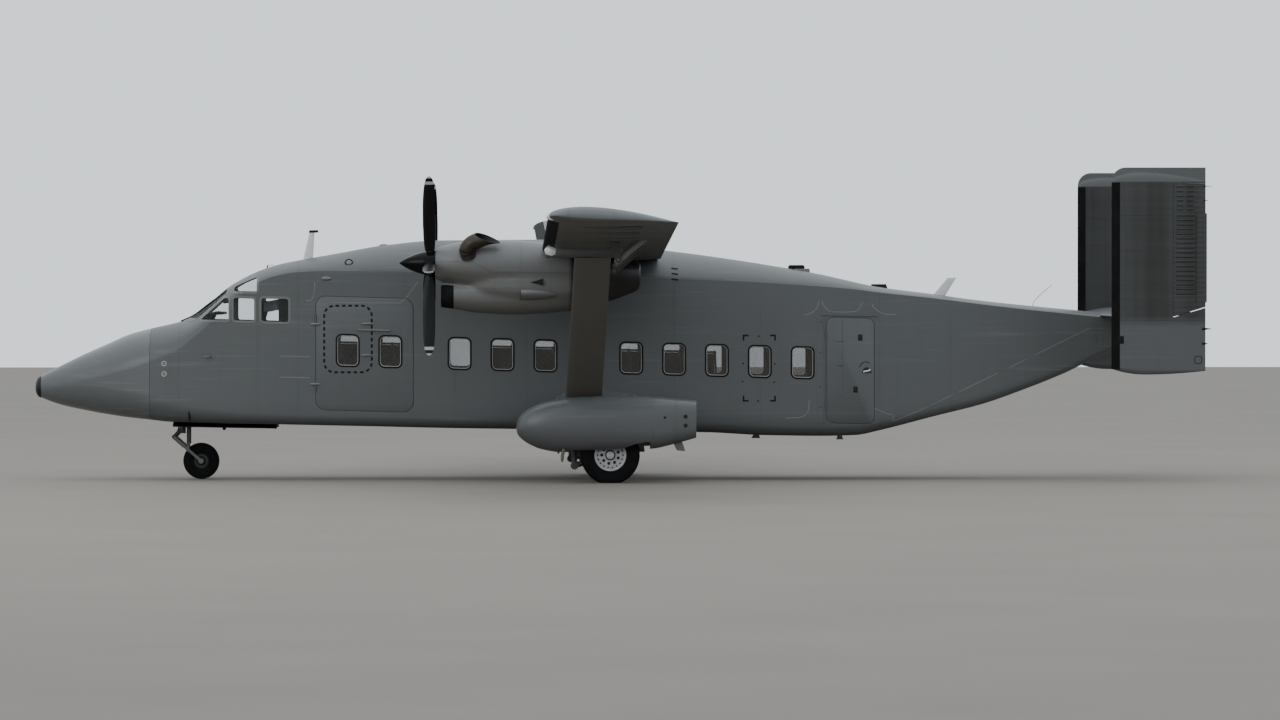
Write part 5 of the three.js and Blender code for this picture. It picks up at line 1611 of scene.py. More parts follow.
# %% Struts
def strut_rows(side, count=26):
    """An aerofoil carried along the line from the pod to the wing."""
    t = np.linspace(0, 1, count)[:, None]
    z = 1.0 + t * (STRUT["high"] - 1.0)
    share = (z - STRUT["low"]) / (STRUT["high"] - STRUT["low"])
    x, y = (foot + share * (top - foot) for foot, top in zip(STRUT["foot"], STRUT["top"]))
    chord = STRUT["chord"] - 0.01 * t
    aside = RING_SIGNS * foil_half(0.21, RING_SHARES) * chord
    return xyz(x + (RING_SHARES - 0.5) * chord, side * y + aside, z)


for side, word in SIDES:
    piece(f"strut_skin_{word}", [skin(strut_rows(side))], strut_paint,
        stands_for=[f"strut_{word}"])
print("wing done")

# %% [markdown]
# ## Wheel pods
# A short stub wing on each side carries a pod for the main wheel. The pod's nose is a smooth
# egg, and its tail end grows squarer until it is cut off flat. Its sections are superellipses:
# the cosine and sine of the angle raised to a power, which squares the corners as it falls.

# %% Pod, stub wing and wheel well
POD = np.array([[-1.4905, 0.815, 0.845, 0.012, 1.0], [-1.483, 0.768, 0.905, 0.06, 1.0],
    [-1.462, 0.722, 0.96, 0.105, 0.98], [-1.4, 0.655, 1.05, 0.17, 0.95],
    [-1.29, 0.582, 1.13, 0.235, 0.92], [-1.1, 0.505, 1.215, 0.295, 0.88],
    [-0.81, 0.462, 1.28, 0.335, 0.82], [-0.51, 0.466, 1.312, 0.35, 0.76],
    [-0.1, 0.48, 1.318, 0.355, 0.7], [0.54, 0.512, 1.3, 0.35, 0.6],
    [0.9, 0.59, 1.272, 0.335, 0.52], [1.216, 0.68, 1.243, 0.31, 0.46]])
STUB_CHORD = 1.56
MAIN = {"x": -0.074, "y": 2.12, "radius": 0.42, "width": 0.266, "rim": 0.232, "tread": 0.446}


def egg_rows(table, middle, x, inset=0.0, sides=64):
    """Superellipses round y = middle, from a table of x, low, high, half width and power."""
    low, high, half, power = columns(table, x)
    c, s = np.cos(full_turn(sides)), np.sin(full_turn(sides))
    y = middle + (half - inset) * np.sign(c) * np.abs(c) ** power
    z = (low + high) / 2 + ((high - low) / 2 - inset) * np.sign(s) * np.abs(s) ** power
    return xyz(x[:, None], y, z)


pod_x = np.concatenate([-1.4905 + 0.28 * (1 - np.cos(quarter_turn(14))),
    stations(-1.15, 1.216, 0.09)])
for side, word in SIDES:
    y = side * MAIN["y"]
    pod = piece(f"wheel_pod_{word}", [skin(egg_rows(POD, y, pod_x, sides=56))], pod_paint,
        stands_for=[f"sponson_{word}"])
    stub_y = side * np.linspace(1.95, 1.1103, 8)[:, None]
    s = RING_SHARES
    z = 1.215 + (4 * 0.02 * s * (1 - s) + RING_SIGNS * foil_half(0.2, s)) * STUB_CHORD
    stub = skin(xyz(-0.9 + s * STUB_CHORD, stub_y, z))
    carve(pod, [stub], "UNION")
    low, high = sorted((y + side * 0.175, y - side * 0.245))
    well_at = (MAIN["x"], low, MAIN["radius"])
    carve(pod, [turned(drum(0, high - low, 0.474), well_at, (0, 1, 0), 64)])
    carve(pod, [block((MAIN["x"] - 0.62, low, 0.3), (MAIN["x"] + 0.604, high, 0.6))])
    notch = [
        [0.06, 0.35], [0.12, 0.525], [0.3, 0.592], [0.479, 0.628], [0.53, 0.612], [0.556, 0.35]]
    carve(pod, [slab(notch, y + side * 0.1, y + side * 0.5, sideways)])
    ports = [turned([(-0.01, 0.001), (-0.01, r), (0.002, r), (0.003, r * 0.9), (0.003, 0.001)],
        (x, y + side * float(between(POD, x)[2]), z), (0, side, 0), 20)
        for x, z, r in ((1.052, 1.005, 0.031), (1.052, 0.87, 0.031), (0.74, 0.992, 0.02))]
    piece(f"pod_ports_{word}", ports, hub_dark)
    fins = [slab([[0.872, 0.605], [1.0, 0.64], [1.055, 0.48], [0.925, 0.492]], y + side * 0.155,
        y + side * 0.163, sideways),
        tube(eased([[-0.775, y + side * 0.2, 0.52], [-0.795, y + side * 0.2, 0.42],
        [-0.8, y + side * 0.2, 0.345]]), 0.025),
        tube([[-0.8, y + side * 0.2, 0.345], [-0.802, y + side * 0.2, 0.32]], 0.016)]
    piece(f"pod_vane_{word}", fins, strut_paint)
print("pods done")

# %% [markdown]
# ## Landing gear
# The main wheel is a pressed disc with nine lightening holes, a ring of bolts and a cap over the
# axle. The tyre is worn smooth on its shoulders and has four grooves round its tread. Each is one
# turned profile; the holes are cut out afterwards.


# %% Main wheels, tyres and legs
def wheel_profile(width, rim, axle):
    """Half section of a rim as (along the axle, radius): hub, dished disc, flange, bed."""
    w = width / 2
    outer = [(-w * 0.6, axle), (-w * 0.6, axle + 0.022), (-w * 0.52, axle + 0.03),
        (-w * 0.46, rim * 0.8), (-w * 0.62, rim * 0.9), (-w * 0.7, rim * 0.94),
        (-w * 0.78, rim + 0.01), (-w * 0.74, rim + 0.012), (-w * 0.62, rim)]
    return np.array(both_ends(outer) + outer[:1])


def tyre_profile(width, radius, rim, grooves):
    """Half section of a tyre as (along, radius): beads, round walls and a grooved tread."""
    w = width / 2
    wall = [(-w * 0.6, rim + 0.002), (-w * 0.82, rim + 0.014),
        (-w * 0.97, rim + 0.38 * (radius - rim)), (-w * 1.0, rim + 0.56 * (radius - rim)),
        (-w * 0.955, rim + 0.76 * (radius - rim)), (-w * 0.83, radius * 0.958),
        (-w * 0.66, radius * 0.984)]
    left = eased(np.array(wall), 5)
    crown = []
    for place in grooves:
        depth = radius * (1 - 0.035 * (place / 0.66) ** 2)
        for step, cut in ((-0.045, 0), (-0.033, 0.008), (0.033, 0.008), (0.045, 0)):
            crown.append((w * (place + step), depth - cut))
    right = left[::-1] * np.array([-1, 1])
    return np.concatenate([left, np.array(crown), right, left[:1]])


def ring_of(count, radius, make, start=0.0):
    """The same small part repeated evenly round a circle: make takes (sideways, up)."""
    angles = start + np.arange(count) * 2 * np.pi / count
    return [make(radius * np.cos(a), radius * np.sin(a)) for a in angles]


Y_AXIS = (0, 1, 0)
ARM_ASIDE = 0.182  # from the wheel's middle to its trailing arm
for side, word in SIDES:
    y = side * MAIN["y"]
    centre = np.array([MAIN["x"], y, MAIN["radius"]])
    disc = turned(wheel_profile(MAIN["width"], MAIN["rim"], 0.0386), centre, Y_AXIS, 72)
    body = f"main_wheel_{word}"
    wheel = piece(f"wheel_disc_{word}", [disc], wheel_enamel, body, [body])

    def hole(a, b):
        return turned(drum(-0.2, 0.2, 0.024), centre + [a, 0, b], Y_AXIS, 20)

    carve(wheel, ring_of(9, 0.128, hole, 0.35))
    face = -0.5 * MAIN["width"] * 0.6
    cap = [
        (face - 0.03, 0.001), (face - 0.028, 0.044), (face - 0.02, 0.058), (face, 0.06),
        (face, 0.001)]
    cap_ring = [
        (face + 0.004, 0.062), (face - 0.012, 0.064), (face - 0.012, 0.076),
        (face + 0.006, 0.078), (face + 0.004, 0.062)]
    bolt = [(0.0, 0.001), (-0.012, 0.007), (-0.012, 0.012), (0.01, 0.012), (0.01, 0.001)]
    flip = np.array([-side, 1.0])

    def bolt_at(a, b):
        spot = centre + [a, -side * face * 0.82, b]
        return turned(np.array(bolt) * flip, spot, Y_AXIS, 10)

    cap, cap_ring = (turned(np.array(form) * flip, centre, Y_AXIS, 40) for form in (cap, cap_ring))
    piece(f"wheel_cap_{word}", [cap], wheel_enamel, body)
    brake = both_ends([(-0.03, 0.07), (-0.03, 0.2)])
    brake = turned([*brake, brake[0]], centre, Y_AXIS, 48)
    bolts = [cap_ring, brake, *ring_of(18, 0.19, bolt_at)]
    piece(f"wheel_bolts_{word}", bolts, hub_dark, body)
    profile = tyre_profile(MAIN["width"], MAIN["tread"], MAIN["rim"], (-0.42, -0.14, 0.14, 0.42))
    tyre = turned(profile, centre, Y_AXIS, 120)
    tyre[0][..., 2] = np.maximum(tyre[0][..., 2], 0.0)  # flat where it stands on the floor
    piece(f"tyre_{word}", [tyre], tread_rubber, body, [f"main_tyre_{word}"])
    inward = y - side * ARM_ASIDE
    post = np.array([MAIN["x"] - 0.535, inward, 0.255])
    inboard = np.array([0, 1.0, 0]) * side
    hub = centre - inboard * ARM_ASIDE
    hose = [
        post + [0.05, side * 0.03, 0.3], post + [0.16, side * 0.05, 0.12],
        centre + [-0.1, -side * 0.18, 0.06]]
    leg = [
        ([post + [0, 0, 0.02], post + [0, 0, 0.2]], 0.04, 28),
        ([post + [0, 0, 0.18], [*post[:2], 0.5997]], 0.046, 28),
        ([post - [0, 0.055, 0], post + [0, 0.055, 0]], 0.06, 32),
        ([post, post + (hub - post) * 0.5, hub], [0.044, 0.04, 0.046], 28),
        ([centre - inboard * 0.222, centre + inboard * 0.095], 0.0382, 32),
        ([centre - inboard * 0.144, centre - inboard * 0.22], 0.062, 36),
        ([post + [0.12, 0, 0.05], post + [0.06, 0, 0.34]], 0.028, 20),
        ([post + [0.06, 0, 0.2], post + [0.055, 0, 0.34]], 0.036, 20),
        (eased(hose), 0.008, 10),
    ]
    # The main leg is painted dark: painted shade under the pod.
    piece(
        f"main_leg_parts_{word}", bars(leg), leg_dark,
        stands_for=[f"main_leg_{word}"])

# %% [markdown]
# The nose gear has a trailing arm: the shock strut stands over the wheel, a link runs forward from
# its head, and the arm runs back and down from that link to the axle. The strut's lower half, the
# arm and the wheel all steer together.

# %% Nose gear
NOSE = {"x": -6.315, "radius": 0.278, "width": 0.19, "rim": 0.112}
POST, SHOCK = -6.6, -6.505  # x of the leg and of the strut over the wheel
BAY_TOP = 1.4397
axle = np.array([NOSE["x"], 0, NOSE["radius"]])
pivot = np.array([-6.727, 0, 0.647])


def upright(x, *levels):
    """Points one above the other in the middle plane."""
    return [[x, 0, z] for z in levels]


fixed = [
    (upright(POST, 1.01, BAY_TOP), [0.058, 0.074], 32),
    (upright(POST, 0.9003, 0.96, 1.02), [0.066, 0.066, 0.06], 32),
    (upright(POST, 0.955, 1.012), 0.078, 32),
    ([[POST, 0, 1.0], [-6.12, 0, 1.42]], 0.03, 24),
    ([[-6.66, -0.09, 0.975], [-6.66, 0.09, 0.975]], 0.026, 20),
]
piece("nose_leg_parts", bars(fixed), leg_metal, stands_for=["nose_leg"])
strut = [
    (upright(POST, 0.8997, 0.7), 0.046, 32),
    (upright(POST, 0.845, 0.8), 0.055, 32),
    ([[POST - 0.02, 0, 0.76], pivot], 0.034, 24),
    ([pivot - [0, 0.15, 0], pivot + [0, 0.15, 0]], 0.036, 28),
    (upright(SHOCK, 0.885, 0.545), 0.036, 28),
    (upright(SHOCK, 0.885, 0.8, 0.79), [0.055, 0.055, 0.045], 28),
    ([[POST, 0, 0.87], [SHOCK, 0, 0.87]], 0.03, 20),
    ([[-6.512, -0.16, 0.54], [-6.512, 0.16, 0.54]], 0.024, 24),
    ([[-6.65, 0.045, 0.83], [-6.7, 0.05, 0.67]], 0.012, 12),
]
arms = []
for side in (-1, 1):
    y = side * (NOSE["width"] / 2 + 0.042)
    start, end = pivot + [0, y, 0], axle + [0, y, 0]
    along = end - start
    joints = [start, start + along * 0.3, start + along * 0.34, start + along * 0.9, end]
    arms += [
        (joints, [0.034, 0.034, 0.028, 0.026, 0.03], 24),
        ([start + along * 0.33, start + along * 0.37], 0.038, 24),
        ([start + along * 0.52, start + along * 0.56], 0.034, 24),
        ([[-6.512, y, 0.54], [-6.512, y, 0.45]], 0.022, 20),
        ([end - [0, 0.02, 0], end + [0, 0.02, 0]], 0.04, 28),
        ([end + [0, side * 0.02, 0], end + [0, side * 0.034, 0]], 0.022, 6),
    ]
arms.append(([axle - [0, 0.157, 0], axle + [0, 0.157, 0]], 0.0222, 24))
piece("nose_fork_parts", bars(arms), leg_metal, "nose_fork", ["nose_fork"])
piece("nose_strut_parts", bars(strut), leg_dark, "nose_fork")
disc = turned(wheel_profile(NOSE["width"], NOSE["rim"], 0.0226), axle, Y_AXIS, 60)
piece("nose_wheel_disc", [disc], hub_dark, "nose_wheel", ["nose_wheel"])
hoop = [(0.0585, 0.078), (0.0665, 0.08), (0.0665, 0.096), (0.0585, 0.098), (0.0585, 0.078)]
hoops = [turned(np.array(hoop) * [side, 1], axle, Y_AXIS, 48) for side in (-1, 1)]
piece("nose_wheel_hoops", hoops, leg_dark, "nose_wheel")
profile = tyre_profile(NOSE["width"], NOSE["radius"], NOSE["rim"], (-0.3, 0.0, 0.3))
tyre = turned(profile, axle, Y_AXIS, 80)
piece("nose_tyre_skin", [tyre], tread_rubber, "nose_wheel", ["nose_tyre"])
for side, word in SIDES:
    x = stations(-6.73, -5.14, 0.08)
    z = hull_values(x)[0] - 0.0005
    ring = [(0, 0.0), (side * 0.262, -0.06), (side * 0.262, -0.07), (side * 0.256, -0.075),
        (-side * 0.004, -0.018)]
    rows = np.stack([xyz(x, side * 0.308 + dy, z + dz) for dy, dz in ring], axis=1)
    piece(f"nose_bay_door_{word}", [skin(rows)], bay_black,
        stands_for=[f"bay_door_{word}"])
print("gear done")

# %% [markdown]
# ## Engines
# The cowl is one long egg over the wing's leading edge with a smaller intake duct under its chin.
# Both are superellipse lofts joined into one skin. Everything about them is a little grubby: the
# chin is olive with oil and painted darker as shade where it faces down, the cowl's rear is
# painted near black as soot and shade, and the exhausts are scorched brown.

# %% Cowl and chin
COWL = np.array([[-2.71, 3.07, 3.53, 0.225, 0.95], [-2.6, 3.03, 3.57, 0.3, 0.93],
    [-2.35, 2.96, 3.62, 0.375, 0.9], [-1.9, 2.9, 3.66, 0.42, 0.88], [-1.3, 2.88, 3.64, 0.43, 0.86],
    [-0.6, 2.88, 3.56, 0.425, 0.86], [0.1, 2.885, 3.44, 0.38, 0.88],
    [0.36, 2.95, 3.32, 0.26, 0.95]])
CHIN = np.array([[-2.58, 2.65, 2.985, 0.25, 0.8], [-2.44, 2.63, 3.01, 0.28, 0.82],
    [-2.1, 2.57, 3.05, 0.32, 0.85], [-1.54, 2.54, 3.1, 0.35, 0.88],
    [-0.72, 2.59, 3.12, 0.345, 0.9], [-0.1, 2.74, 3.13, 0.29, 0.92],
    [0.33, 2.9, 3.15, 0.18, 0.95]])
FLANK = np.array([[-2.3, 2.85, 3.06, 0.15, 0.9], [-2.1, 2.8, 3.18, 0.318, 0.8],
    [-1.8, 2.75, 3.26, 0.388, 0.7], [-1.3, 2.7, 3.3, 0.412, 0.62], [-0.6, 2.72, 3.28, 0.405, 0.64],
    [0.05, 2.88, 3.18, 0.335, 0.8], [0.3, 2.96, 3.12, 0.2, 0.95]])


def chin_lip(middle_y, count=10):
    """The rounded edge of the intake: the first section swung inwards along a quarter circle."""
    turn = quarter_turn(count)
    first = egg_rows(CHIN, middle_y, np.array([CHIN[0, 0]]))[0]
    middle = np.array([0, middle_y, (CHIN[0, 1] + CHIN[0, 2]) / 2])
    rows = []
    for a in turn[::-1]:
        scale = 1 - 0.1 * (1 - np.cos(a))
        ring = (first - middle) * [1, scale, scale] + middle
        rows.append(ring - np.array([0.035 * np.sin(a), 0, 0]))
    return np.stack(rows)


for side, word in SIDES:
    middle_y = side * HUB["y"]
    cowl_x = [-2.7098, -2.705, -2.69, *stations(-2.66, 0.3, 0.06), 0.33, 0.35, 0.36]
    cowl = skin(egg_rows(COWL, middle_y, np.array(cowl_x)))
    nacelle = piece(
        f"nacelle_skin_{word}", [cowl], cowl_paint, stands_for=[f"nacelle_{word}"])
    chin_rows = egg_rows(CHIN, middle_y, stations(-2.55, 0.33, 0.06))
    chin = np.concatenate([chin_lip(middle_y), chin_rows])
    carve(nacelle, [skin(chin)], "UNION")
    carve(nacelle, [skin(egg_rows(FLANK, middle_y, stations(-2.295, 0.295, 0.07)))], "UNION")
    blended(nacelle)
    carve(nacelle, [skin(egg_rows(COWL, middle_y, stations(-2.62, -0.62, 0.12), 0.045))])
    duct_x = np.concatenate([[-2.5799], stations(-2.5, -1.54, 0.12)])
    mouth = egg_rows(CHIN, middle_y, duct_x[:1], 0.045).repeat(2, axis=0)
    mouth = mouth + np.array([[[-0.06, 0, 0]], [[0.002, 0, 0]]])
    carve(nacelle, [skin(egg_rows(CHIN, middle_y, duct_x, 0.045)), skin(mouth)])
    carve(nacelle, [turned(drum(0, 0.3, 0.096), (-2.8, middle_y, HUB["z"]), (1, 0, 0))])
    lip_rows = egg_rows(CHIN, middle_y, np.linspace(-2.57, -2.43, 5))
    lip = np.concatenate([chin_lip(middle_y), lip_rows])
    middle = np.array([0, middle_y, 2.8175])
    outside = (lip - middle) * [1, 1.012, 1.012] + middle - np.array([0.004, 0, 0])
    inside = (lip - middle) * [1, 0.985, 0.985] + middle
    band = np.concatenate([outside, inside[::-1], outside[:1]])
    piece(f"intake_lip_{word}", [skin(band, ends=False)], boot_rubber)
    for flank, tag in ((1, "outer"), (-1, "inner")):
        out = side * flank
        path = eased([[-2.2, 0.33, 3.4], [-2.225, 0.372, 3.5], [-2.17, 0.41, 3.59],
            [-2.06, 0.43, 3.65], [-1.9, 0.438, 3.696], [-1.69, 0.44, 3.712]], 7)
        path = path * [1, out, 1] + [0, middle_y, 0]
        run = np.linspace(0, 1, len(path))
        radii = np.interp(run, [0, 0.25, 0.6, 1], [0.118, 0.124, 0.118, 0.104])
        skins = [ringed(path, radii - wall, 40) for wall in (0.0, 0.01)]
        stack = piece(f"exhaust_skin_{word}_{tag}", [shell(*skins)], burnt_steel,
            stands_for=[f"exhaust_{word}_{tag}"])
        scarf = [[-2.4, 3.89], [-1.4, 3.45], [-1.4, 4.2], [-2.4, 4.2]]

        def slanting(u, v, h):
            """Places (x, z, y), sinking outwards, for the slanted mouth."""
            return xyz(u, middle_y + out * (0.43 + h), v - 0.45 * h)

        carve(stack, [slab(scarf, -0.3, 0.3, slanting)])

        def from_path(centres):
            """Out of the pipe: away from the nearest point of its middle line."""
            gap = np.linalg.norm(centres[:, None] - path[None], axis=2)
            return centres - path[np.argmin(gap, axis=1)]

        line_inside(stack, exhaust_inside, from_path)
print("cowls done")


# %% Scoops, vents and drains on the cowls
def scoop(middle_y, out, x0, x1, z, half, deep):
    """A bulge on the cowl's flank that grows from nothing to an open mouth at its forward end."""
    t = np.linspace(0, 1, 16)[:, None]
    turn = np.linspace(0, np.pi, 17)[None]
    size = np.sqrt(np.maximum(1 - t**2.2, 0.0))
    x = x0 + (x1 - x0) * t
    low, high, width, power = columns(FLANK, x[:, 0])
    up = z + half * size * np.cos(turn)
    share = np.clip(np.abs(up - (low + high) / 2) / ((high - low) / 2), 0, 0.999)
    flank = width * (1 - share ** (2 / power)) ** (power / 2)
    y = middle_y + out * (flank - 0.012 + (deep * size + 0.012) * np.sin(turn))
    return xyz(x, y, up)


for side, word in SIDES:
    middle_y = side * HUB["y"]
    parts, mouth_shades = [], []
    for out in (-1, 1):
        rows = scoop(middle_y, out, -1.43, -0.9, 2.835, 0.085, 0.06)
        parts.append(skin(rows))
        # Thin black caps across the scoop mouths and the flank vent: painted shade inside the
        # openings.
        mouth_shades.append(
            skin(rows[:1].repeat(2, axis=0) + np.array([[[-0.006, 0, 0]], [[-0.001, 0, 0]]])))
        flank = middle_y + out * 0.392
        near = np.array([[-1.29, flank, 3.022], [-1.1, flank, 2.975], [-1.1, flank, 3.08]])
        far = near + [[0.0, out * 0.02, 0], [0, out * 0.052, 0.006], [0, out * 0.052, -0.006]]
        mouth_shades.append(skin(np.stack([near, far])))
    piece(f"cowl_scoops_{word}", parts, cowl_paint)
    piece(f"cowl_openings_{word}", mouth_shades, bay_black)

# %% [markdown]
# ## Propellers
# Five broad blades with rounded tips stand in a polished black spinner. A blade is a thin aerofoil
# section carried out from the hub; its chord, thickness and twist are tables of the radius. Each
# blade leaves the spinner through a round bullet-shaped root.

# %% Blades, roots and spinner
BLADE = np.array([[0.17, 0.07, 0.03, 0.04, 0.7], [0.24, 0.095, 0.045, 0.034, 0.66],
    [0.33, 0.108, 0.052, 0.027, 0.58], [0.45, 0.118, 0.056, 0.019, 0.46],
    [0.65, 0.128, 0.058, 0.014, 0.36], [0.9, 0.129, 0.058, 0.011, 0.28],
    [1.1, 0.123, 0.053, 0.009, 0.22], [1.25, 0.109, 0.042, 0.007, 0.18],
    [1.34, 0.092, 0.027, 0.005, 0.16], [1.385, 0.07, 0.003, 0.004, 0.15],
    [1.405, 0.048, -0.016, 0.002, 0.15], [1.4095, 0.035, -0.028, 0.001, 0.15]])


def hub_at(side):
    return np.array([HUB["x"], side * HUB["y"], HUB["z"]])


def blade(side, turn, count=44):
    """Sections across the blade: an ellipse sharpened at its rear edge, leaning with the twist."""
    r = 0.17 + (1.4095 - 0.17) * np.sin(quarter_turn(count))
    lead, trail, thick, twist = columns(BLADE, r)
    a = full_turn(28)[None]
    chord, middle = (lead + trail) / 2, (trail - lead) / 2
    along = middle + chord * np.cos(a)
    lean = np.sin(0.12 - 0.1 * (r / 1.41))[:, None]
    aside = thick * np.sin(a) * (1 - 0.45 * np.maximum(np.cos(a), 0) ** 2)
    aside = aside + lean * chord * np.cos(a)
    out = np.array([0, -np.sin(turn), np.cos(turn)])
    cross = np.array([0, np.cos(turn), np.sin(turn)])
    hub = hub_at(side)
    reach = r[:, None, None] * out
    return hub + along[..., None] * [1.0, 0, 0] + aside[..., None] * cross + reach


spinner = np.array([(0.0497, 0.001), (0.0497, 0.183), (0.0, 0.183), (-0.04, 0.182), (-0.09, 0.176),
    (-0.15, 0.163), (-0.22, 0.142), (-0.29, 0.115), (-0.36, 0.082), (-0.42, 0.048),
    (-0.458, 0.022), (-0.476, 0.008), (-0.48, 0.0008)])
spinner = np.concatenate([spinner[:3], eased(spinner[2:], 4)[1:]])
for side, word in SIDES:
    hub = hub_at(side)
    angles = np.radians(HUB["first"] + 72.0 * np.arange(5))
    piece(f"spinner_{word}", [turned(spinner, hub, (1, 0, 0), 72)], spinner_black,
        f"propeller_{word}", [f"propeller_{word}"])
    piece(f"blades_{word}", [skin(blade(side, turn)) for turn in angles], blade_looks[side],
        f"propeller_{word}")
    roots = []
    for turn in angles:
        out = np.array([0, -np.sin(turn), np.cos(turn)])
        centre = hub + [-0.005, 0, 0]
        roots.append(turned([(0.1, 0.002), (0.12, 0.062), (0.165, 0.062), (0.195, 0.058),
            (0.215, 0.048), (0.222, 0.03)], centre, out, 28))
    piece(f"blade_roots_{word}", roots, spinner_black, f"propeller_{word}")
    piece(f"propeller_shaft_{word}", [tube([hub + [0.02, 0, 0], [-2.3305, *hub[1:]]], 0.06, 28)],
        engine_metal, f"propeller_{word}")
print("propellers done")

# %% [markdown]
# ## Tail
# A plain rectangular tailplane sits on the tail cone and carries a fin at each end. Fins, rudders,
# tailplane and elevator all use the symmetric form of the wing's section, laid flat or upright.

# %% Tail sections
TAIL = {"z": 2.585, "le": 7.47, "te": 8.78, "hinge": 8.31, "half": 2.815, "elevator": 2.48}
FIN = {"y": 2.84, "le": 7.43, "te": 8.84, "foot": 1.634, "top": 4.745, "hinge": 8.37, "cap": 4.52}
TAIL_CHORD, FIN_CHORD = TAIL["te"] - TAIL["le"], FIN["te"] - FIN["le"]


def plane_face(y, s, sign):
    """Points of the tailplane's upper or lower face, flatter above and drooped in front."""
    top = np.where(sign > 0, 1 - 0.4 * (1 - s) ** 2, 1.0)
    z = TAIL["z"] - 0.03 * s - 0.07 * (1 - s) ** 3 + sign * (foil_half(0.12, s) * TAIL_CHORD * top)
    return xyz(TAIL["le"] + s * TAIL_CHORD, y, z)


def fin_face(z, s, sign, y, proud=0.0):
    """Points of a fin's side at a height and a share of the chord."""
    aside = sign * (foil_half(0.1, s) * FIN_CHORD + proud)
    return xyz(FIN["le"] + s * FIN_CHORD - proud * (1 - s) ** 8, y + aside, z)


# %% Tailplane and elevator
span = np.linspace(-TAIL["half"], TAIL["half"], 40)[:, None]
plane = piece("tailplane_skin", [skin(plane_face(span, RING_SHARES, RING_SIGNS))], tail_paint,
    stands_for=["tailplane"])
hinge_z, tip_y = TAIL["z"] - 0.02, TAIL["elevator"]
bar_room = cone((TAIL["hinge"], -tip_y, hinge_z), (TAIL["hinge"], tip_y, hinge_z), 0.06, 0.06)
corners = []
for side in (-1, 1):
    for dx, y0 in ((0.06, tip_y - 0.01), (-0.005, 2.776)):
        low, high = sorted((side * y0, side * 3.0))
        corners.append(block((TAIL["hinge"] + dx, low, 2.0), (9.5, high, 3.2)))
carve_each(plane, [block((TAIL["hinge"], -tip_y, 2.0), (9.5, tip_y, 3.2)), bar_room, *corners])
elevator_half = tip_y - END_GAP
s0 = (TAIL["hinge"] - TAIL["le"]) / TAIL_CHORD
rear = rear_shares(s0, 15)
span = np.linspace(-elevator_half, elevator_half, 30)[:, None]
half = foil_half(0.12, s0) * TAIL_CHORD
nose_x, nose_z = TAIL["hinge"] + 0.052 * np.cos(NOSE_ARC), half * np.sin(NOSE_ARC)
nose = xyz(nose_x, span, TAIL["z"] - 0.03 * s0 + nose_z)
upper, lower = plane_face(span, rear, 1), plane_face(span, rear[:, ::-1], -1)
rows = np.concatenate([upper, nose, lower], axis=1)
piece("elevator_skin", [skin(rows)], tail_paint, "elevator", stands_for=["elevator"])
cuff = np.linspace(0, 1, 14)
saddle = []
for y, height in both_ends([(-0.19, 0), (-0.16, 0.75), (-0.1, 1)]):
    saddle.append(xyz(7.45 + 0.72 * cuff, y, 2.42 + 0.13 * np.sin(np.pi * cuff) ** 0.5 * height))
piece("tailplane_saddle", [skin(np.stack(saddle, axis=1))], body_paint)

# %% Fins and rudders
def fin_rows(y):
    """Level rings from foot to tip. The foot is rounded and rises aft. Above the cap's seam the
    sides turn in at a height that follows their own thickness, and a thin blade goes on to the
    top; its leading edge falls back along a quarter circle."""
    s = RING_SHARES
    fat = np.maximum(foil_half(0.1, s), 0) / 0.05
    lift = quarter_turn(10)[:, None]
    lowest = FIN["foot"] + 0.006 + np.where(s < 0.35, 0.085 * (1 - s / 0.35)**2,
        0.055 * ((s - 0.35) / 0.65)**2)
    foot = lowest + 0.075 * (1 - np.cos(lift)) * (0.3 + 0.7 * fat)
    main = foot[-1] + 0.01 + (FIN["cap"] - foot[-1] - 0.01) * np.linspace(0, 1, 26)[:, None]
    swell = np.radians([20, 38, 54, 68, 79])[:, None]
    crease = FIN["cap"] + 0.155 * np.sin(swell) * (0.12 + 0.88 * fat)
    shoulder = crease[-1] + 0.006
    blade_z = shoulder + (FIN["top"] - shoulder) * np.sin(quarter_turn(18))[:, None]
    z = np.concatenate([foot, main, crease, blade_z])
    thick = np.concatenate([np.maximum(np.sin(lift[:, 0]), 0.12), np.ones(26), np.cos(swell[:, 0]),
        np.linspace(0.16, 0.1, 18)])[:, None]
    up = np.clip((z - FIN["cap"] - 0.02) / (FIN["top"] - FIN["cap"] - 0.02), 0, 1)
    back = 0.21 * (1 - np.sqrt(1 - up**2))
    x = FIN["le"] + back * (1 - s) + s * FIN_CHORD
    aside = RING_SIGNS * foil_half(0.1, s) * FIN_CHORD * thick
    return xyz(x, y + aside, z)


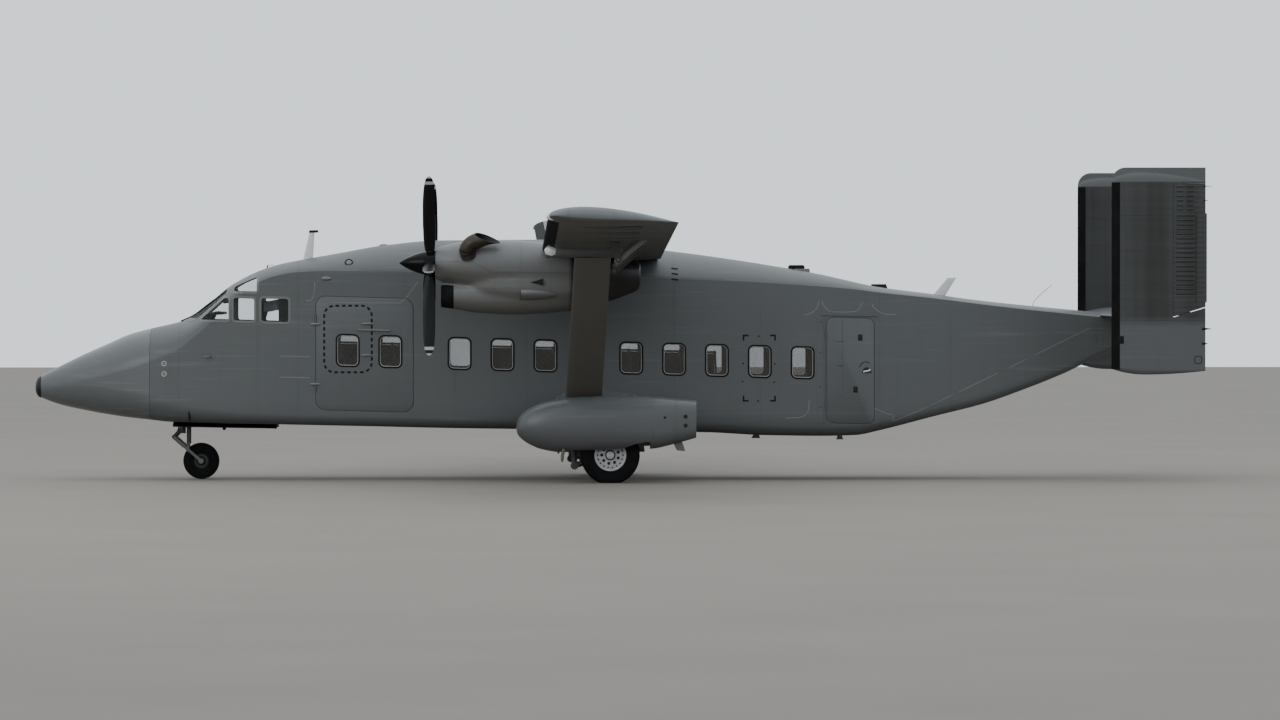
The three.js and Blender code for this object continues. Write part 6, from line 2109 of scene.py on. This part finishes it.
rudder_top = FIN["cap"] - 0.012
long_ribs = [(z, 8.4, 8.675) for z in np.arange(2.86, 4.08, 0.069)]
short_ribs = [(z, x0, x0 + 0.09) for z in np.arange(4.12, 4.5, 0.069) for x0 in (8.41, 8.56)]
section = [(-0.022, -0.002), (-0.014, 0.01), (-0.002, 0.015), (0.005, 0.012), (0.008, -0.002)]
for side, word in SIDES:
    y = side * FIN["y"]
    fin = piece(f"fin_skin_{word}", [skin(fin_rows(y))], fin_paint, stands_for=[f"fin_{word}"])
    low, high = 2.51, rudder_top
    shape = [[FIN["hinge"], low - 0.01], [9.2, low + 0.24], [9.2, high + 0.001],
        [FIN["hinge"], high + 0.001]]
    carve_each(fin, [slab(shape, y - 0.3, y + 0.3, sideways),
        cone((FIN["hinge"], y, 2.503), (FIN["hinge"], y, high + 0.001), 0.054, 0.054)])
    s0 = (FIN["hinge"] - FIN["le"]) / FIN_CHORD
    rear = rear_shares(s0, 17)
    up = np.linspace(0, 1, 36)[:, None]

    def level(s):
        """Heights up the rudder, over its foot that rises aft."""
        base = low + 0.003 + 0.25 / 0.83 * np.maximum(0, (s - s0)) * FIN_CHORD
        return base + up * (high - base)

    nose_x = FIN["hinge"] + 0.046 * np.cos(NOSE_ARC)
    half = foil_half(0.1, s0) * FIN_CHORD
    nose = xyz(nose_x, y + half * np.sin(NOSE_ARC), level(s0))
    left, right = rear, rear[:, ::-1]
    sides = [fin_face(level(left), left, 1, y), nose, fin_face(level(right), right, -1, y)]
    rudder = f"rudder_{word}"
    sheet = skin(np.concatenate(sides, axis=1))
    piece(f"rudder_skin_{word}", [sheet], rudder_paint, rudder, stands_for=[rudder])
    tab = plate(rounded(0.166, 1.34, 0.012) + [8.777, 3.39], -0.009, 0.009,
        lambda u, v, h: xyz(u, y + h, v))
    ribs = []
    for out in (-1, 1):
        for z, x0, x1 in long_ribs + short_ribs:
            x = np.linspace(x0, x1, 9)
            s = (x - FIN["le"]) / FIN_CHORD
            face = foil_half(0.1, s) * FIN_CHORD
            rib = [xyz(x, y + out * (face + d), z + dz) for dz, d in section]
            ribs.append(skin(np.stack(rib, axis=1)))
    piece(f"rudder_ribs_{word}", [tab, *ribs], rudder_paint, rudder)

    def fin_nose(z, s, sign, proud):
        return fin_face(z, s, sign, y, proud)

    edge = boot(fin_nose, boot_shares, np.linspace(1.72, 4.52, 30))
    piece(f"fin_boot_{word}", [edge], boot_rubber)

    def fin_side(u, v, h):
        """Places (x, z, height) on the fin's left face."""
        return xyz(u, y - foil_half(0.1, (u - FIN["le"]) / FIN_CHORD) * FIN_CHORD - h, v)

    ring = [(0, -0.001), (0, 0.0015), (0.01, 0.0015), (0.01, -0.001)]
    marks = [
        plate(rounded(0.088, 0.115, 0.006) + [7.565, 2.16], 0, 0.003, fin_side, 0.001),
        trim(rounded(0.1, 0.1, 0.03) + [8.73, 1.86], ring, fin_side),
    ]
    piece(f"fin_marks_{word}", marks, marking_black)
    seam = block((8.694, y - 0.02, 2.715), (8.7, y + 0.02, 4.058))
    piece(f"tab_seams_{word}", [seam], marking_black, rudder)
    wicks = [
        tube([[8.8, y, z], [end, y, z]], [0.009, 0.003], 8)
        for z, end in ((4.465, 8.94), (4.25, 8.88))]
    piece(f"rudder_wicks_{word}", wicks, marking_black, rudder)
    wicks = [
        tube([[8.79, y, z], [end, y, z]], [0.022, 0.004], 8)
        for z, end in ((2.325, 8.93), (2.105, 8.875))]
    piece(f"fin_wicks_{word}", wicks, marking_black)

# %% [markdown]
# ## Small things on the skin
# Aerials, lights, drains and vents are what give an aircraft its scale. Each is a few centimetres
# of tube, blade or dome, seated on the skin that the hull's sections give at its place.


# %% Blade aerials, domes and drains
def crown(x):
    """Height of the roof's middle line."""
    return float(hull_values(np.array([x]))[2][0])


def upright_blade(x0, x1, tip0, tip1, low, high, thick):
    """A thin swept blade: a lens section from its foot to its tip."""
    t = np.linspace(0, 1, 14)[:, None]
    a = full_turn(24)[None]
    start, end = x0 + (tip0 - x0) * t, x1 + (tip1 - x1) * t
    x = (start + end) / 2 + (end - start) / 2 * np.cos(a)
    z = low + (high - low) * t
    return skin(xyz(x, thick * (1 - 0.5 * t) * np.sin(a) * np.abs(np.sin(a)) ** 0.3, z))


def side_at(x, z):
    """Half the hull's width at one place."""
    return float(hull_half(np.array([x]), z)[0])


def dome(x, y, z, radius, height, axis=(0, 0, 1)):
    """A low cap whose height follows the sine as its radius follows the cosine."""
    turn = quarter_turn(9)
    profile = np.column_stack([height * np.sin(turn), np.maximum(radius * np.cos(turn), 0.0008)])
    profile = np.concatenate([[(-0.02, 0.0008), (-0.02, radius)], profile])
    return turned(profile, (x, y, z), axis, 28)


top, ridge = crown(-4.58), crown(-5.3)
aerials = [
    upright_blade(-4.75, -4.6, -4.655, -4.575, top - 0.03, top + 0.39, 0.016),
    upright_blade(4.935, 5.13, 5.165, 5.3, crown(4.9) - 0.03, crown(4.9) + 0.245, 0.01),
    tube(eased([[6.47, 0, 2.6], [6.5, 0, 2.72], [6.6, 0, 2.83], [6.784, 0, 2.985]]), 0.007, 10),
    tube([[-5.29, 0, ridge + 0.036], [-5.198, 0, ridge + 0.05]], 0.006, 8),
]
piece("white_aerials", aerials, aerial_white)
hook = [[-5.305, 0, ridge - 0.02], [-5.3, 0, ridge + 0.028], [-5.285, 0, ridge + 0.036]]
caps = [
    tube([[-4.66, 0, top + 0.398], [-4.52, 0, top + 0.402]], 0.02, 16),
    slab(rounded(0.25, 0.085, 0.03) + [2.835, 3.243], -0.06, 0.06, sideways),
    tube(eased(hook), 0.01, 10),
    upright_blade(3.98, 4.24, 3.99, 4.22, crown(4.1) - 0.02, crown(4.1) + 0.045, 0.06),
    tube([[-6.465, -0.955, 1.065], [-6.46, -0.945, 0.985], [-6.458, -0.905, 0.915]], 0.012, 10),
    upright_blade(-6.01, -5.91, -5.985, -5.945, 0.86, 0.75, 0.012),
]
piece("black_fittings", caps, marking_black)
ROOF_EDGE = (0, -0.75, 0.66)  # the way that the skin faces at the round port
port_side = -side_at(-4.03, 3.315)
# The bumps take the paler fitting grey: painted highlight.
bumps = [
    dome(-3.51, 0, crown(-3.51) - 0.012, 0.08, 0.035),
    dome(-4.03, port_side + 0.008, 3.315, 0.055, 0.03, ROOF_EDGE),
    slab(rounded(0.24, 0.07, 0.02) + [2.92, 3.195], -0.07, 0.07, sideways),
    fairing(-4.445, -4.29, 3.08, 0.032, 0.034),
    upright_blade(2.14, 2.28, 2.19, 2.25, 0.62, 0.7, 0.012),
    upright_blade(3.45, 3.56, 3.48, 3.53, 0.6, 0.69, 0.012),
]
piece("skin_bumps", bumps, fitting_highlight_grey)
# A black ring round the round port: painted shadow that the dome throws on the skin.
ring = [(-0.01, 0.05), (0.01, 0.051), (0.01, 0.061), (-0.01, 0.066), (-0.01, 0.05)]
port_shade_ring = turned(ring, (-4.03, port_side - 0.004, 3.325), ROOF_EDGE, 28)
piece("roof_port_ring", [port_shade_ring], trim_black)
vents = [strip([[0.88, z], [0.98, z - 0.012]], 0.012, 0.004, LEFT) for z in (3.235, 3.155, 3.07)]
piece("roof_louvres", vents, marking_black)
ports = []
ring = [(-0.01, 0.024), (0.006, 0.026), (0.006, 0.041), (-0.01, 0.046), (-0.01, 0.024)]
plug = [(-0.01, 0.001), (-0.01, 0.009), (0.005, 0.008), (0.005, 0.001)]
for z in (1.782, 1.625):
    y0, y1 = hull_half(np.array([-6.875, -6.815]), z)
    spot, facing = (-6.845, -float(y0 + y1) / 2, z), (-float(y1 - y0) / 0.06, -1, 0.06)
    ports += [turned(ring, spot, facing, 28), turned(plug, spot, facing, 12)]
piece("nose_ports", ports, pale_bead)
foot = -side_at(-6.17, 1.9)
probe = [[-6.14, foot + 0.01, 1.9], [-6.15, foot - 0.07, 1.885], [-6.26, foot - 0.09, 1.895]]
piece("probe", [tube(eased(probe), 0.011, 12)], leg_metal)
SEAM_LINES = [[[3.96, 1.105], [4.25, 1.0], [4.55, 1.02], [7.3, 2.32]],
    [[-4.545, 3.02], [-4.56, 2.86], [-4.6, 2.755], [-4.68, 2.745]],
    [[-4.3, 2.745], [-4.24, 2.715], [-3.35, 2.705], [-3.22, 2.73], [-3.1, 2.86], [-2.98, 3.03]],
    [[2.9, 2.52], [3.02, 2.56], [3.1, 2.64], [3.13, 2.74]],
    [[3.17, 2.74], [3.22, 2.64], [3.32, 2.575], [3.62, 2.57], [3.72, 2.6], [3.8, 2.72]],
    [[3.93, 2.7], [3.98, 2.62], [4.12, 2.54], [4.3, 2.53]],
    [[2.98, 1.22], [2.96, 1.06], [2.86, 0.97], [2.62, 0.95]], [[-5.08, 1.9], [-4.62, 1.89]],
    [[-5.08, 1.58], [-4.62, 1.57]]]
# The raised seams are painted paler: painted highlight along them.
seams = [strip(eased(line, 8), 0.007, 0.0015, LEFT) for line in SEAM_LINES]
piece("pale_seams", seams, fitting_highlight_grey)
print("details done")

# %% [markdown]
# ## The floor
# A plain pale floor catches the soft shadow.

# %% Floor and its finish
corners = np.array([[[-90, -90, 0], [90, -90, 0]], [[-90, 120, 0], [90, 120, 0]]], float)
ground = bpy.data.objects.new("floor", mesh_of("floor", [skin(corners, around=False, ends=False)]))
bpy.context.collection.objects.link(ground)
g = Graph("pale_floor")
sand = [grey(level, (1.0, 0.9, 0.78)) for level in (0.21, 0.26)]
look = g.finish(Base_Color=g.mix(g.noise(0.3), *sand), Roughness=0.85, Specular_IOR_Level=0.2)
ground.data.materials.append(look)
